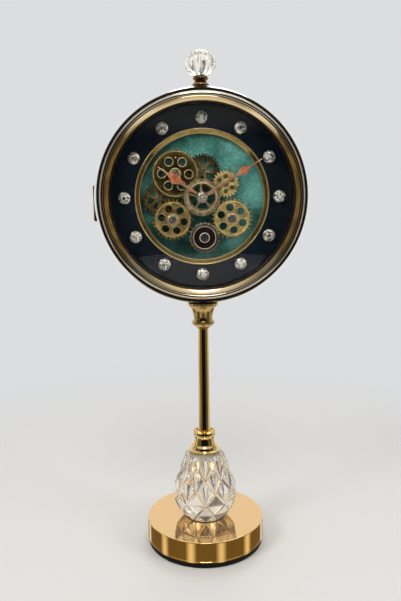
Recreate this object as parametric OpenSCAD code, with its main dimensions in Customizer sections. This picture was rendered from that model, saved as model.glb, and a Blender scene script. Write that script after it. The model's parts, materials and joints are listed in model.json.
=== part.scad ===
// Gear table clock: a round chromed head with an open gear dial behind a domed
// glass, on a turned column, a cut crystal egg and a heavy round base.
// Origin: centre of the underside of the base. +Z up, the dial faces -Y.

/* [Base] */
// Radius of the gold base shell
base_r = 62.2; // [60:0.1:80]
// Thickness of the black foot pad
pad_h = 6; // [4:0.5:9]
// Inset of the foot pad from the edge of the shell
pad_inset = 0.7; // [0:0.1:3]
// Height of the gold base shell
base_h = 22; // [18:0.5:32]
// Wall of the base shell
base_wall = 1.2; // [0.8:0.1:2]
// Rounding of the base shell's upper edge
base_edge_r = 1.8; // [1.3:0.1:4]
// Radius of the clamping rod
rod_r = 3; // [2.5:0.1:3.4]

/* [Crystal egg] */
// Largest radius of the egg
egg_r = 34.5; // [28:0.5:42]
// Height of the egg
egg_h = 70; // [56:1:90]
// Facets round the egg
egg_facets = 16; // [10:2:24]
// Thickness of the clear washers above and below the egg
egg_washer_t = 1; // [0.6:0.1:2]

/* [Column] */
// Height of the turned collar on the egg
collar_h = 23; // [18:0.5:30]
// Radius of the collar's foot
collar_foot_r = 17.3; // [15:0.1:20]
// Radius of the collar's cup lip
collar_lip_r = 12.3; // [11:0.1:14]
// Length of the column that shows
column_l = 112; // [80:1:160]
// Radius of the column at its foot
column_foot_r = 6.6; // [5.8:0.1:8]
// Radius of the column at its top
column_top_r = 5.5; // [5:0.1:6.5]
// Height of the turned capital
capital_h = 27; // [22:0.5:34]
// Radius of the capital's wide rim
capital_r = 16.4; // [14:0.1:20]
// Radius of the capital's lower bead
capital_bead_r = 12.1; // [10:0.1:13.5]
// Thickness of the black saddle washer where the case sits in it
saddle_t = 1; // [0.8:0.1:1.6]

/* [Head] */
// Largest radius of the chrome case
case_r = 107.5; // [100:0.5:120]
// Bow of the case's side from its rims to its middle
case_bow = 5; // [3:0.1:7]
// Depth of the case between its rims
case_d = 44; // [42:1:56]
// Wall of the case
case_wall = 1.4; // [1:0.1:2]
// Inset of the bezel from the rim of the case
bezel_inset = 3.5; // [2:0.1:4.5]
// Width of the gold bezel
bezel_w = 10.9; // [10.5:0.1:13]
// Depth of the bezel from back to front
bezel_d = 9; // [8:0.5:12]
// Rise of the domed glass
glass_rise = 11; // [6:0.5:16]
// Thickness of the glass
glass_t = 2; // [1.5:0.1:2.4]
// Thickness of the black gasket behind the bezel
gasket_t = 3.2; // [2:0.1:5]

/* [Rear door] */
// Thickness of the rear door
door_t = 1.5; // [1.2:0.1:3]
// Length of the door's hinge
hinge_l = 35; // [24:1:50]
// Radius of the hinge's barrel
hinge_r = 2.3; // [1.9:0.1:3]
// Radius of the hinge's pin
hinge_pin_r = 0.9; // [0.7:0.05:1.2]
// Drop of the hinge below the head's centre
hinge_drop = 5; // [0:1:12]
// Thickness of the hinge's leaves
leaf_t = 1.2; // [0.8:0.1:1.3]

/* [Dial] */
// Radius of the teal plate behind the gears, as a share of the bezel's opening
plate_share = 0.694; // [0.664:0.002:0.71]
// Width of the gold step ring round the teal plate
step_w = 5.2; // [4:0.1:6]
// Height of the navy hour ring above the dial board
ring_h = 7.5; // [6:0.5:9]
// Radius of an hour stone
gem_r = 6.3; // [4:0.1:7]
// Number of hour stones
gem_count = 12; // [12, 4]

/* [Gears] */
// Tooth module of the four front gears, as a share of the plate's radius
coarse_module_share = 0.0215; // [0.0207:0.0001:0.0219]
// Tooth module of the rear gears and the pinions, as a share of the plate's radius
fine_module_share = 0.0175; // [0.0169:0.0001:0.0178]
// Thickness of a gear
gear_t = 1.6; // [1.2:0.1:1.7]
// Gap between the gears of neighbouring layers
layer_gap = 0.4; // [0.3:0.05:0.5]
// Radius of a gear post's pin
pin_r = 1.5; // [1.2:0.1:1.7]
// Running clearance between a pin and its gear
run_gap = 0.05; // [0.03:0.01:0.08]

/* [Hands] */
// Length of the minute hand, as a share of the radius of the stones' circle
minute_share = 0.898; // [0.78:0.002:0.96]
// Length of the hour hand, as a share of the radius of the stones' circle
hour_share = 0.68; // [0.57:0.001:0.75]
// Time shown, in minutes after twelve
time_min = 609.7; // [0:0.1:719]

/* [Finial] */
// Radius of the crystal ball
finial_r = 15.9; // [12:0.1:20]
// Height of the crystal ball
finial_h = 24.5; // [19:0.5:30]
// Height of the gold neck under the ball
neck_h = 9; // [6:0.5:11]
// Radius of the ring on the neck
neck_ring_r = 7.5; // [6.5:0.1:9]

/* [Movement] */
// Side of the square clock movement
movement_w = 56; // [50:1:56]
// Depth of the clock movement
movement_d = 15; // [12:0.5:16]
// Radius of the setting knob
knob_r = 6; // [4:0.5:8]
// Radius of a pen-light cell
cell_r = 7.1; // [7:0.1:7.2]
// Length of a pen-light cell
cell_l = 50; // [49:0.5:50.5]

/* [Hidden] */
$fn = 96;
case_fn = 240;

// Colours of the finishes
gold = "#d9b98a";
olive_gold = "#9c8a52";
rose_gold = "#b08d74";
copper = "#c8705a";
chrome = "#c9ccd0";
bronze = "#5b4128";
steel = "#a8a9ab";
black = "#17181a";
navy = "#101b33";
teal = "#3f7f82";
crystal = "#dfe8ee";
ivory = "#d9d6cc";

// Overrun of every cut, and the small play of parts that slip together
over = 1;
play = 0.1;
seat_gap = 0.3;

// Levels of the stand, from the floor up
saddle_seat = 1.5;
pad_r = base_r - pad_inset;
base_top = pad_h + base_h;
egg_z = base_top + egg_washer_t;
collar_z = egg_z + egg_h + egg_washer_t;
column_z = collar_z + collar_h;
capital_z = column_z + column_l;
saddle_z = capital_z + capital_h - saddle_seat;
head_z = saddle_z + saddle_t + case_r;

// Base internals
weight_gap = 1.5;
nut_h = 5;
nut_flat_r = 5.5;
washer_t = 1.5;
washer_r = 9;
recess_r = 11;
recess_h = 8.5;
rod_gap = 0.3;

// Shares of the egg's height and of its largest radius, from its foot to its top
egg_shares = [[0, 0.62], [0.07, 0.76], [0.18, 0.91], [0.33, 1], [0.48, 0.955],
              [0.64, 0.85], [0.81, 0.71], [1, 0.545]];
egg_washer_share = 0.52;

// Turned profile of the collar: shares of its height, and the radius there
collar_neck_r = 10.4;
collar_dome_r = 14.8;
collar_ring_r = 15.6;
cup_depth = 4;
cup_wall = 2.2;

// Turned profile of the capital
capital_neck_r = 9.7;
capital_foot_r = 7.4;
socket_depth = 3;
seat_rim_w = 1.6;
saddle_r = capital_r - seat_rim_w;
saddle_rise = 2;

// Case arc: a barrel whose side bows out from the rims
case_rim_r = case_r - case_bow;
case_arc_r = (case_d * case_d / 4 + case_bow * case_bow) / (2 * case_bow);
flange_t = 1.5;
case_front = case_d / 2;
rear_open_r = case_rim_r - 5 * flange_t;
bezel_r = case_rim_r - bezel_inset;
bezel_open_r = bezel_r - bezel_w;
sleeve_t = 1.5;
sleeve_r = bezel_open_r + sleeve_t;
sleeve_lip_w = 2.3;
sleeve_lip_t = 1;
notch_gap = 0.5;

// Radius of a skin a given gap outside the case, at a depth from the head's mid plane
function skin_at(gap, s) = case_r - case_arc_r + sqrt((case_arc_r + gap) * (case_arc_r + gap) - s * s);

// Bezel and glass, measured forward from the head's mid plane
bezel_back = case_front + gasket_t;
bezel_front = bezel_back + bezel_d;
bezel_band_share = 0.56;
bezel_slope = 3.8;
bezel_round = 2.4;
rabbet_w = 3.5;
rabbet_r = bezel_open_r + rabbet_w;
rabbet_z = bezel_front - bezel_slope - 1.5 * glass_t;
glass_r = rabbet_r - play;
dome_r = (bezel_open_r * bezel_open_r + glass_rise * glass_rise) / (2 * glass_rise);
retainer_w = 3;

// Dial stack, measured forward from the head's mid plane
board_back = 1.5;
board_t = 3;
board_front = board_back + board_t;
board_inset = 5;
board_r = case_rim_r - board_inset;
plate_r = plate_share * bezel_open_r;
plate_t = 1.5;
plate_front = board_front + plate_t;
ring_front = board_front + ring_h;
step_r = plate_r + step_w;
step_lip = 0.8;
ring_wall = 1.5;
ring_gap = 0.1;
ring_outer_r = bezel_open_r - 2 * ring_gap;
boss_r = 2.6;
boss_circle_r = sleeve_r + boss_r;
screw_r = 1.2;
screw_head_r = 2.4;
screw_head_h = 1.4;
boss_turn = 45;

// Hour stones: shares of their radius and height
gem_circle_r = (step_r + ring_outer_r) / 2 - 0.9 * step_lip;
gem_h = 4;
gem_table_share = 0.55;
gem_star_share = 0.8;
gem_star_z_share = 0.62;
gem_girdle_z_share = 0.3;

// Tooth form shared by all gears
coarse_module = coarse_module_share * plate_r;
fine_module = fine_module_share * plate_r;
pressure_a = 20;
backlash_share = 0.08;
addendum_share = 1;
dedendum_share = 1.25;
flank_shares = [0, 0.45, 1];

// Tooth counts
centre_teeth = 26;
left_teeth = 29;
right_teeth = 29;
drive_teeth = 21;
ring_teeth = 26;
upper_teeth = 24;
upper_pinion_teeth = 18;
petal_teeth = 30;
big_pinion_teeth = 21;
big_teeth = 43;
left_pinion_teeth = 19;
side_teeth = 28;
trim_teeth = 78;
drive_trim_teeth = 42;

// Directions from each gear to the next one in the train, as the face shows them
left_a = 216.5;
right_a = 324.3;
drive_a = 214;
upper_a = 28.8;
petal_a = 150;
big_a = 185.8;
side_a = 124.6;

// Gear layers, measured forward from the head's mid plane
layer_step = gear_t + layer_gap;
plate_gap = 1.2;
layer_1 = plate_front + plate_gap;
layer_2 = layer_1 + layer_step;
layer_3 = layer_2 + layer_step;
layer_4 = layer_3 + layer_step;
layer_5 = layer_4 + layer_step + layer_gap;
trim_t = 1;
rim_h = 0.8;
rim_w = 0.9;
hub_h = 0.5;
big_hub_r = 5.7;
wheel_hub_r = 5.4;
seat_play = 0.15;
shoulder_r = 2.8;
cap_r = 2.7;
wheel_cap_r = 4.4;
cap_h = 0.7;

// Hands
minute_l = minute_share * gem_circle_r;
hour_l = hour_share * gem_circle_r;
minute_w = 2.6;
hour_w = 2.8;
minute_bulb_r = 4;
hour_bulb_r = 4.9;
minute_bulb_share = 0.692;
hour_bulb_share = 0.6;
hand_t = 0.8;
hand_hub_r = 4.4;
hand_tip_w = 0.7;
hand_gap = 1.4;
arbor_r = 1.2;
pipe_r = 2;
stem_r = 3.1;
stem_nut_r = 5.6;
stem_nut_h = 1.1;
hour_z = layer_5 + trim_t + hand_gap + cap_h;
minute_z = hour_z + hand_t + hand_gap;
nut_h_front = 2.6;
nut_front = minute_z + hand_t + nut_h_front;

// Finial
neck_foot_r = 8.6;
neck_waist_r = 5.9;
stud_r = 2;
stud_up_share = 0.55;
finial_lobes = 13;
finial_flute_share = 0.08;
finial_shares = [[0, 0.5], [0.14, 0.76], [0.32, 0.95], [0.47, 1], [0.64, 0.93],
                 [0.82, 0.7], [0.94, 0.42], [1, 0.24]];

// Movement and drive behind the dial board
corner_r = 3;
arbor_z = board_back - movement_d / 4;
cell_play = 0.4;
cell_wall = 1.2;
clock_cell_x = -14;
knob_x = 13;
knob_z = -12;
knob_h = 5;
knob_shaft_r = 1.6;
motor_body_r = 11.5;
motor_l = 15;
motor_bush_r = 3;
shaft_r = 1.5;
box_play = 1;
box_wall = 1.6;
lid_t = 1.4;
switch_w = 4;
switch_l = 5;
switch_travel = 4;
switch_proud = 1.6;

// Rear door and its hinge
door_r = case_rim_r - seat_gap;
door_front = -case_front - seat_gap;
catch_h = 3;
catch_w = 2;
catch_l = 14;
catch_gap = 0.5;
door_back = door_front - door_t;
hinge_share = 0.55;
hinge_z = -hinge_share * case_front;
hinge_x = -skin_at(seat_gap, hinge_z) - hinge_r;
hinge_y = -hinge_drop;
leaf_reach = 8;
tab_reach = 12;
pin_head_h = 0.8;

// Points on a circle, and an arc between two angles
function dir(a) = [cos(a), sin(a)];
function arc(c, r, a0, a1, n) = [for (i = [0 : n]) c + r * dir(a0 + (a1 - a0) * i / n)];

// Involute angle at the radius whose base-circle cosine is c
function involute_a(c) = let (a = acos(min(1, c))) tan(a) * 180 / PI - a;

// Half the angle that a tooth fills at radius r
function tooth_half_a(z, m, r) =
  90 / z * (1 - backlash_share) + involute_a(cos(pressure_a))
  - involute_a(z * m * cos(pressure_a) / 2 / r);

function pitch_r(z, m) = z * m / 2;
function tip_r(z, m) = pitch_r(z, m) + addendum_share * m;
function root_r(z, m) = pitch_r(z, m) - dedendum_share * m;
function flank_r(z, m, share) = root_r(z, m) + share * (tip_r(z, m) - root_r(z, m));

// Outline of a spur gear with its first tooth at the angle turn
function gear_points(z, m, turn) = [
  for (i = [0 : z - 1])
    for (side = [-1, 1])
      for (k = [0 : len(flank_shares) - 1])
        let (share = flank_shares[side < 0 ? k : len(flank_shares) - 1 - k],
             r = flank_r(z, m, share))
        r * dir(turn + 360 * i / z + side * tooth_half_a(z, m, r))];

// First-tooth angle of the next gear, in mesh with a gear at direction a
function mesh_turn(a, z_from, turn_from, z_to) =
  a + 180 + ((a - turn_from) * z_from - 180) / z_to;

// Place of the next gear's centre
function next_at(p, a, z_from, z_to, m) = p + (z_from + z_to) * m / 2 * dir(a);

centre_at = [0, 0];
left_at = next_at(centre_at, left_a, centre_teeth, left_teeth, coarse_module);
right_at = next_at(centre_at, right_a, centre_teeth, right_teeth, coarse_module);
drive_at = next_at(right_at, drive_a, right_teeth, drive_teeth, coarse_module);
motor_r = min(motor_body_r, -drive_at[1] - movement_w / 2 - box_play);
upper_at = next_at(centre_at, upper_a, ring_teeth, upper_teeth, fine_module);
petal_at = next_at(upper_at, petal_a, upper_pinion_teeth, petal_teeth, fine_module);
big_at = next_at(petal_at, big_a, petal_teeth, big_pinion_teeth, fine_module);
side_at = next_at(left_at, side_a, left_pinion_teeth, side_teeth, fine_module);

left_turn = mesh_turn(left_a, centre_teeth, 0, left_teeth);
right_turn = mesh_turn(right_a, centre_teeth, 0, right_teeth);
drive_turn = mesh_turn(drive_a, right_teeth, right_turn, drive_teeth);
upper_turn = mesh_turn(upper_a, ring_teeth, 0, upper_teeth);
petal_turn = mesh_turn(petal_a, upper_pinion_teeth, 0, petal_teeth);
big_pinion_turn = mesh_turn(big_a, petal_teeth, petal_turn, big_pinion_teeth);
side_turn = mesh_turn(side_a, left_pinion_teeth, 0, side_teeth);

// Frame of the head: local x to the right, y up, z towards the viewer
module head() {
  translate([0, 0, head_z]) rotate([90, 0, 0]) children();
}

module at_gear(p, z) {
  head() translate([p[0], p[1], z]) children();
}

module ring(r_out, r_in, h) {
  linear_extrude(h) difference() {
    circle(r_out);
    circle(r_in);
  }
}

module turned(points) {
  rotate_extrude() polygon(points);
}

// Outline of the case from its axis out, at an inset from its skin
module barrel_profile(inset) {
  intersection() {
    union() {
      translate([case_r - case_arc_r, 0]) circle(case_arc_r - inset, $fn = case_fn);
      translate([0, -case_front]) square([case_r - case_arc_r, case_d]);
    }
    translate([0, -case_front]) square([case_r, case_d]);
  }
}

module case_envelope(inset) {
  head() rotate_extrude($fn = case_fn) barrel_profile(inset);
}

module rod_bore(z0, h) {
  translate([0, 0, z0 - over]) cylinder(r = rod_r + rod_gap, h = h + 2 * over);
}

// Cut crystal body from rings of points. With half turns the rings alternate, which
// cuts lozenges; with a flute depth every second point lies deeper, which cuts lobes.
module cut_crystal(r, h, shares, facets, half_turns, flute_share) {
  rows = len(shares);
  points = [
    for (i = [0 : rows - 1])
      for (j = [0 : facets - 1])
        let (step = half_turns ? i % 2 / 2 : 0,
             deep = j % 2 * flute_share,
             p = r * shares[i][1] * (1 - deep) * dir(360 * (j + step) / facets))
        [p[0], p[1], h * shares[i][0]]];
  // One band of facets joins ring i to the ring above it
  sides = [
    for (i = [0 : rows - 2])
      for (j = [0 : facets - 1])
        let (k = (j + 1) % facets, a = i * facets, b = a + facets)
        each (half_turns && i % 2 == 1
          ? [[b + j, b + k, a + j], [b + k, a + k, a + j]]
          : [[b + j, a + k, a + j], [b + j, b + k, a + k]])];
  foot = [for (j = [0 : facets - 1]) j];
  top = [for (j = [1 : facets]) rows * facets - j];
  polyhedron(points, concat([foot], sides, [top]));
}

// Brilliant-cut stone on its flat back: table, star, kite and girdle facets
module brilliant(r, h) {
  table = [for (i = [0 : 7]) let (p = r * gem_table_share * dir(45 * i)) [p[0], p[1], h]];
  star = [for (i = [0 : 7]) let (p = r * gem_star_share * dir(45 * i + 22.5))
          [p[0], p[1], h * gem_star_z_share]];
  girdle = [for (i = [0 : 15]) let (p = r * dir(22.5 * i)) [p[0], p[1], h * gem_girdle_z_share]];
  back = [for (i = [0 : 15]) let (p = r * dir(22.5 * i)) [p[0], p[1], 0]];
  faces = concat(
    [[7, 6, 5, 4, 3, 2, 1, 0]],
    [for (i = [0 : 7]) let (n = (i + 1) % 8, l = (i + 7) % 8)
      each [[i, n, 8 + i], [i, 8 + i, 16 + 2 * i], [i, 16 + 2 * i, 8 + l],
            [8 + i, 16 + 2 * i + 1, 16 + 2 * i], [8 + i, 16 + 2 * n, 16 + 2 * i + 1]]],
    [for (i = [0 : 15]) let (n = (i + 1) % 16) [16 + i, 16 + n, 32 + n, 32 + i]],
    [[for (i = [0 : 15]) 32 + i]]);
  polyhedron(concat(table, star, girdle, back), faces);
}

// Round foot pad under the whole base
module base_pad() {
  color(black) cylinder(r = pad_r, h = pad_h);
}

// Spun shell with a rounded upper edge
module base_shell() {
  color(gold) difference() {
    translate([0, 0, pad_h]) turned(concat(
      [[0, 0], [base_r, 0]],
      arc([base_r - base_edge_r, base_h - base_edge_r], base_edge_r, 0, 90, 8),
      [[0, base_h]]));
    translate([0, 0, pad_h - over]) cylinder(r = base_r - base_wall, h = base_h - base_wall + over);
    rod_bore(pad_h, base_h);
  }
}

// Cast weight with a recess for the rod's lower nut
module base_weight() {
  color(black) difference() {
    translate([0, 0, pad_h]) cylinder(r = base_r - base_wall - weight_gap, h = base_h - base_wall);
    translate([0, 0, pad_h - over]) cylinder(r = recess_r, h = recess_h + over);
    rod_bore(pad_h, base_h);
  }
}

module clamp_nut(h) {
  difference() {
    union() {
      cylinder(r = nut_flat_r / cos(30), h = h, $fn = 6);
      translate([0, 0, h]) cylinder(r = washer_r, h = washer_t);
    }
    translate([0, 0, -over]) cylinder(r = rod_r, h = h + washer_t + 2 * over);
  }
}

// Flanged nut that draws the stand together from below
module rod_foot_nut() {
  color(steel) translate([0, 0, pad_h + recess_h - nut_h - washer_t]) clamp_nut(nut_h);
}

rod_foot_z = pad_h + recess_h - nut_h - washer_t - rod_r / 2;
rod_seat_z = head_z - case_r + case_wall + 2 * washer_t;
rod_head_z = rod_seat_z + washer_t + nut_h + rod_r / 2;

module tie_rod() {
  color(steel) translate([0, 0, rod_foot_z]) cylinder(r = rod_r, h = rod_head_z - rod_foot_z);
}

// Nut on a block that fits the curve inside the case
module rod_head_nut() {
  color(steel) difference() {
    union() {
      translate([0, 0, rod_seat_z + washer_t + nut_h]) mirror([0, 0, 1]) clamp_nut(nut_h);
      translate([0, 0, head_z - case_r]) cylinder(r = washer_r, h = rod_seat_z - head_z + case_r);
    }
    translate([0, 0, head_z - case_r - over]) cylinder(r = rod_r, h = 2 * washer_r);
    difference() {
      translate([0, 0, head_z - case_r - over]) cylinder(r = 2 * washer_r, h = 2 * washer_r);
      case_envelope(case_wall);
    }
  }
}

module egg_washers() {
  r = egg_washer_share * egg_r;
  color(crystal) for (z = [base_top, collar_z - egg_washer_t])
    translate([0, 0, z]) ring(r, rod_r + rod_gap, egg_washer_t);
}

// Egg of cut crystal, bored for the rod
module crystal_egg() {
  color(crystal) difference() {
    translate([0, 0, egg_z]) cut_crystal(egg_r, egg_h, egg_shares, egg_facets, true, 0);
    rod_bore(egg_z, egg_h);
  }
}

// Turned collar: foot ring, dome, waist and a cup that holds the column
module lower_collar() {
  h = collar_h;
  color(gold) difference() {
    translate([0, 0, collar_z]) turned(concat(
      [[0, 0], [collar_ring_r, 0], [collar_ring_r, 0.1 * h], [collar_foot_r, 0.13 * h],
       [collar_foot_r, 0.26 * h]],
      arc([collar_dome_r - 0.12 * h, 0.31 * h], 0.12 * h, 0, 80, 5),
      [[collar_neck_r + 0.04 * h, 0.47 * h], [collar_neck_r, 0.58 * h],
       [collar_neck_r + 0.02 * h, 0.72 * h], [collar_lip_r, 0.86 * h], [collar_lip_r, h],
       [0, h]]));
    translate([0, 0, column_z - cup_depth])
      cylinder(r1 = column_foot_r + play, r2 = collar_lip_r - cup_wall / 2, h = cup_depth + over);
    rod_bore(collar_z, h);
  }
}

// Tapered tube between the cup and the capital
module column_tube() {
  h = cup_depth + column_l + socket_depth;
  color(gold) difference() {
    translate([0, 0, column_z - cup_depth]) cylinder(r1 = column_foot_r, r2 = column_top_r, h = h);
    rod_bore(column_z - cup_depth, h);
  }
}

// Turned capital: bead, neck and a flared cup under the head
module upper_capital() {
  h = capital_h;
  color(gold) difference() {
    translate([0, 0, capital_z]) turned(concat(
      [[0, 0], [capital_foot_r - 1.2 * play, 0], [capital_foot_r, 0.08 * h],
       [capital_bead_r - 0.06 * h, 0.14 * h]],
      arc([capital_bead_r - 0.08 * h, 0.24 * h], 0.08 * h, -70, 70, 6),
      [[capital_neck_r, 0.37 * h], [0.97 * capital_neck_r + 0.02 * h, 0.45 * h],
       [1.08 * capital_neck_r, 0.62 * h], [(capital_neck_r + capital_r) / 2, 0.8 * h],
       [capital_r, 0.95 * h], [capital_r, h], [0, h]]));
    translate([0, 0, capital_z - over])
      cylinder(r = column_top_r + play, h = socket_depth + over);
    translate([0, 0, saddle_z]) cylinder(r = saddle_r + play, h = saddle_seat + over);
    rod_bore(capital_z, h);
  }
}

// Black washer let into the capital, its top a saddle for the round case
module saddle_washer() {
  h = saddle_seat + saddle_rise;
  color(black) difference() {
    translate([0, 0, saddle_z]) cylinder(r = saddle_r, h = h);
    case_envelope(0);
    rod_bore(saddle_z, h);
  }
}

// Chromed barrel with an inward flange at each rim
module case_band() {
  color(chrome) difference() {
    head() rotate_extrude($fn = case_fn) difference() {
      barrel_profile(0);
      intersection() {
        barrel_profile(case_wall);
        translate([0, flange_t - case_front]) square([case_r, case_d - 2 * flange_t]);
      }
      translate([0, -over]) square([sleeve_r + play, case_d]);
      translate([0, -case_front - over]) square([rear_open_r, case_d / 2]);
    }
    translate([0, 0, head_z - case_r - over]) cylinder(r = rod_r + rod_gap, h = 4 * over);
    translate([0, 0, head_z + case_r - 3 * over]) cylinder(r = stud_r + rod_gap, h = 4 * over);
  }
}

// Soft black ring between the case and the bezel
module case_gasket() {
  color(black) head() translate([0, 0, case_front])
    ring(case_rim_r, sleeve_r + sleeve_lip_w + play, gasket_t);
}

// Two-step gold bezel with a rabbet for the glass
module bezel_frame() {
  band_r = bezel_open_r + (bezel_r - bezel_open_r) * (1 - bezel_band_share);
  step = bezel_round / 3;
  inner_front = bezel_front - step;
  color(gold) head() turned(concat(
    [[rabbet_r, bezel_back], [bezel_r - step, bezel_back], [bezel_r, bezel_back + step]],
    arc([bezel_r - bezel_round, bezel_front - bezel_round], bezel_round, 0, 90, 8),
    [[band_r + step, bezel_front], [band_r, inner_front - step],
     [band_r - step, inner_front - step / 2], [bezel_open_r, bezel_front - bezel_slope],
     [bezel_open_r, rabbet_z + glass_t], [rabbet_r, rabbet_z + glass_t]]));
}

// Domed glass on a flat edge
module bezel_glass() {
  color(crystal, 0.35) head() rotate_extrude() {
    translate([0, rabbet_z]) difference() {
      union() {
        square([glass_r, glass_t]);
        intersection() {
          translate([0, glass_rise + glass_t - dome_r]) circle(dome_r, $fn = 360);
          square([bezel_open_r - play, glass_rise + glass_t]);
        }
      }
      intersection() {
        translate([0, glass_rise - dome_r]) circle(dome_r, $fn = 360);
        translate([0, -over]) square([bezel_open_r - retainer_w, glass_rise + glass_t]);
      }
    }
  }
}

// Black ring that holds the glass in the rabbet
module glass_retainer() {
  color(black) head() translate([0, 0, bezel_back])
    ring(glass_r, bezel_open_r + play, rabbet_z - bezel_back);
}

// Dark tube from the dial board to the front of the case
module dial_sleeve() {
  color(black) head() difference() {
    union() {
      turned([[bezel_open_r, board_front], [sleeve_r, board_front],
              [sleeve_r, case_front], [sleeve_r + sleeve_lip_w, case_front],
              [sleeve_r + sleeve_lip_w, case_front + sleeve_lip_t],
              [bezel_open_r, case_front + sleeve_lip_t]]);
      for (i = [0 : 3]) rotate(boss_turn + 90 * i) translate([boss_circle_r - boss_r / 2, 0, board_front])
        cylinder(r = boss_r, h = case_front - flange_t - board_front);
    }
    cylinder(r = bezel_open_r, h = case_front);
    for (i = [0 : 3]) rotate(boss_turn + 90 * i)
      translate([boss_circle_r - boss_r / 2, 0, board_front - over])
        cylinder(r = screw_r, h = case_front / 2);
  }
}

// Backing board that carries the dial, the posts, the movement and the motor
module dial_board() {
  color(black) head() translate([0, 0, board_back]) linear_extrude(board_t) difference() {
    circle(board_r);
    circle(stem_r + play);
    translate(drive_at) circle(motor_bush_r + play);
    for (i = [0 : 3]) rotate(boss_turn + 90 * i) translate([boss_circle_r - boss_r / 2, 0])
      circle(screw_r + play);
    for (p = post_places) translate(p) circle(pin_r);
    translate([-washer_r - notch_gap, -board_r - over])
      square([2 * (washer_r + notch_gap), rod_head_z - head_z + notch_gap + board_r + over]);
  }
}

module board_screws() {
  color(steel) head() for (i = [0 : 3])
    rotate(boss_turn + 90 * i) translate([boss_circle_r - boss_r / 2, 0, board_back]) {
      translate([0, 0, -screw_head_h]) cylinder(r = screw_head_r, h = screw_head_h);
      cylinder(r = screw_r, h = board_t + 3 * screw_head_h);
    }
}

// Thin teal plate behind the gears
module dial_plate() {
  color(teal) head() translate([0, 0, board_front]) linear_extrude(plate_t) difference() {
    circle(plate_r);
    circle(stem_r + play);
    translate(drive_at) circle(motor_bush_r + play);
    for (p = post_places) translate(p) circle(pin_r);
  }
}

// Gold ring that slopes from the hour ring down to the teal plate
module dial_step_ring() {
  color(gold) head() turned([
    [plate_r + ring_gap, board_front], [step_r, board_front], [step_r, ring_front + step_lip],
    [step_r - step_lip, ring_front + step_lip], [step_r - 1.3 * step_lip, ring_front],
    [plate_r + ring_gap, plate_front + step_lip / 2]]);
}

// Glossy hour ring, moulded hollow, with a flat seat for each stone
module dial_ring() {
  color(navy) head() turned([
    [step_r + ring_gap, board_front], [step_r + ring_gap, ring_front],
    [ring_outer_r, ring_front], [ring_outer_r, board_front],
    [ring_outer_r - ring_wall, board_front], [ring_outer_r - ring_wall, ring_front - ring_wall],
    [step_r + ring_gap + ring_wall, ring_front - ring_wall],
    [step_r + ring_gap + ring_wall, board_front]]);
}

module hour_stones() {
  color(crystal) head() for (i = [0 : gem_count - 1])
    rotate(360 * i / gem_count) translate([0, gem_circle_r, ring_front]) brilliant(gem_r, gem_h);
}

// Posts: centre, seat height, cap radius and cap height of each gear that turns on one
post_places = [left_at, right_at, upper_at, petal_at, big_at, side_at];
post_seats = [layer_1, layer_4, layer_1, layer_1, layer_1, layer_1];
post_cap_rs = [wheel_cap_r, wheel_cap_r, cap_r, cap_r, cap_r, cap_r];
post_tops = [layer_4 + gear_t + hub_h, layer_4 + gear_t + hub_h, layer_3 + gear_t + hub_h,
             layer_1 + gear_t, layer_2 + gear_t + hub_h, layer_1 + gear_t];

module gear_posts() {
  color(steel) for (i = [0 : len(post_places) - 1]) at_gear(post_places[i], 0) {
    translate([0, 0, board_back]) cylinder(r = pin_r, h = post_tops[i] + seat_play + cap_h / 2 - board_back);
    translate([0, 0, plate_front]) ring(shoulder_r, pin_r, post_seats[i] - seat_play - plate_front);
  }
}

// Push-on caps that keep the gears on their posts
module gear_caps() {
  color(steel) {
    for (i = [0 : len(post_places) - 1]) at_gear(post_places[i], post_tops[i] + seat_play) difference() {
      cylinder(r = post_cap_rs[i], h = cap_h);
      translate([0, 0, -over]) cylinder(r = pin_r, h = over + cap_h / 2);
    }
    at_gear(centre_at, layer_5 + trim_t + seat_play) ring(hand_hub_r, stem_r, cap_h);
  }
}

module gear_outline(z, m, turn) {
  polygon(gear_points(z, m, turn));
}

// Fine decorative toothing that only trims an edge
module trim_outline(z, r, depth) {
  polygon([for (i = [0 : 2 * z - 1]) (i % 2 == 0 ? r : r - depth) * dir(180 * i / z)]);
}

module holes(count, circle_r, r, turn) {
  for (i = [0 : count - 1]) rotate(turn + 360 * i / count) translate([circle_r, 0]) circle(r);
}

// Teardrop cut-outs with their points towards the hub
module petals(count, circle_r, r, turn) {
  for (i = [0 : count - 1]) rotate(turn + 360 * i / count) {
    translate([circle_r, 0]) circle(r);
    polygon([[circle_r - 1.9 * r, 0], [circle_r - 0.5 * r, -0.866 * r], [circle_r - 0.5 * r, 0.866 * r]]);
  }
}

module spokes(count, r, w, turn) {
  for (i = [0 : count - 1]) rotate(turn + 360 * i / count) translate([0, -w / 2]) square([r, w]);
}

// Places and sizes of the cut-outs, as shares of each wheel's pitch radius
hole_count = 6;
coarse_circle_share = 0.587;
coarse_hole_share = 0.199;
big_circle_share = 0.571;
big_hole_share = 0.173;
upper_circle_share = 0.545;
upper_hole_share = 0.174;
petal_circle_share = 0.564;
petal_hole_share = 0.182;
drive_dish_share = 0.776;
drive_hub_share = 0.346;
centre_open_share = 0.775;
spoke_count = 5;
spoke_turn = 23;
centre_hub_r = 5;
centre_open_r = centre_open_share * pitch_r(centre_teeth, coarse_module);
centre_bore_r = stem_r + run_gap;
post_bore_r = pin_r + run_gap;

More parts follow.
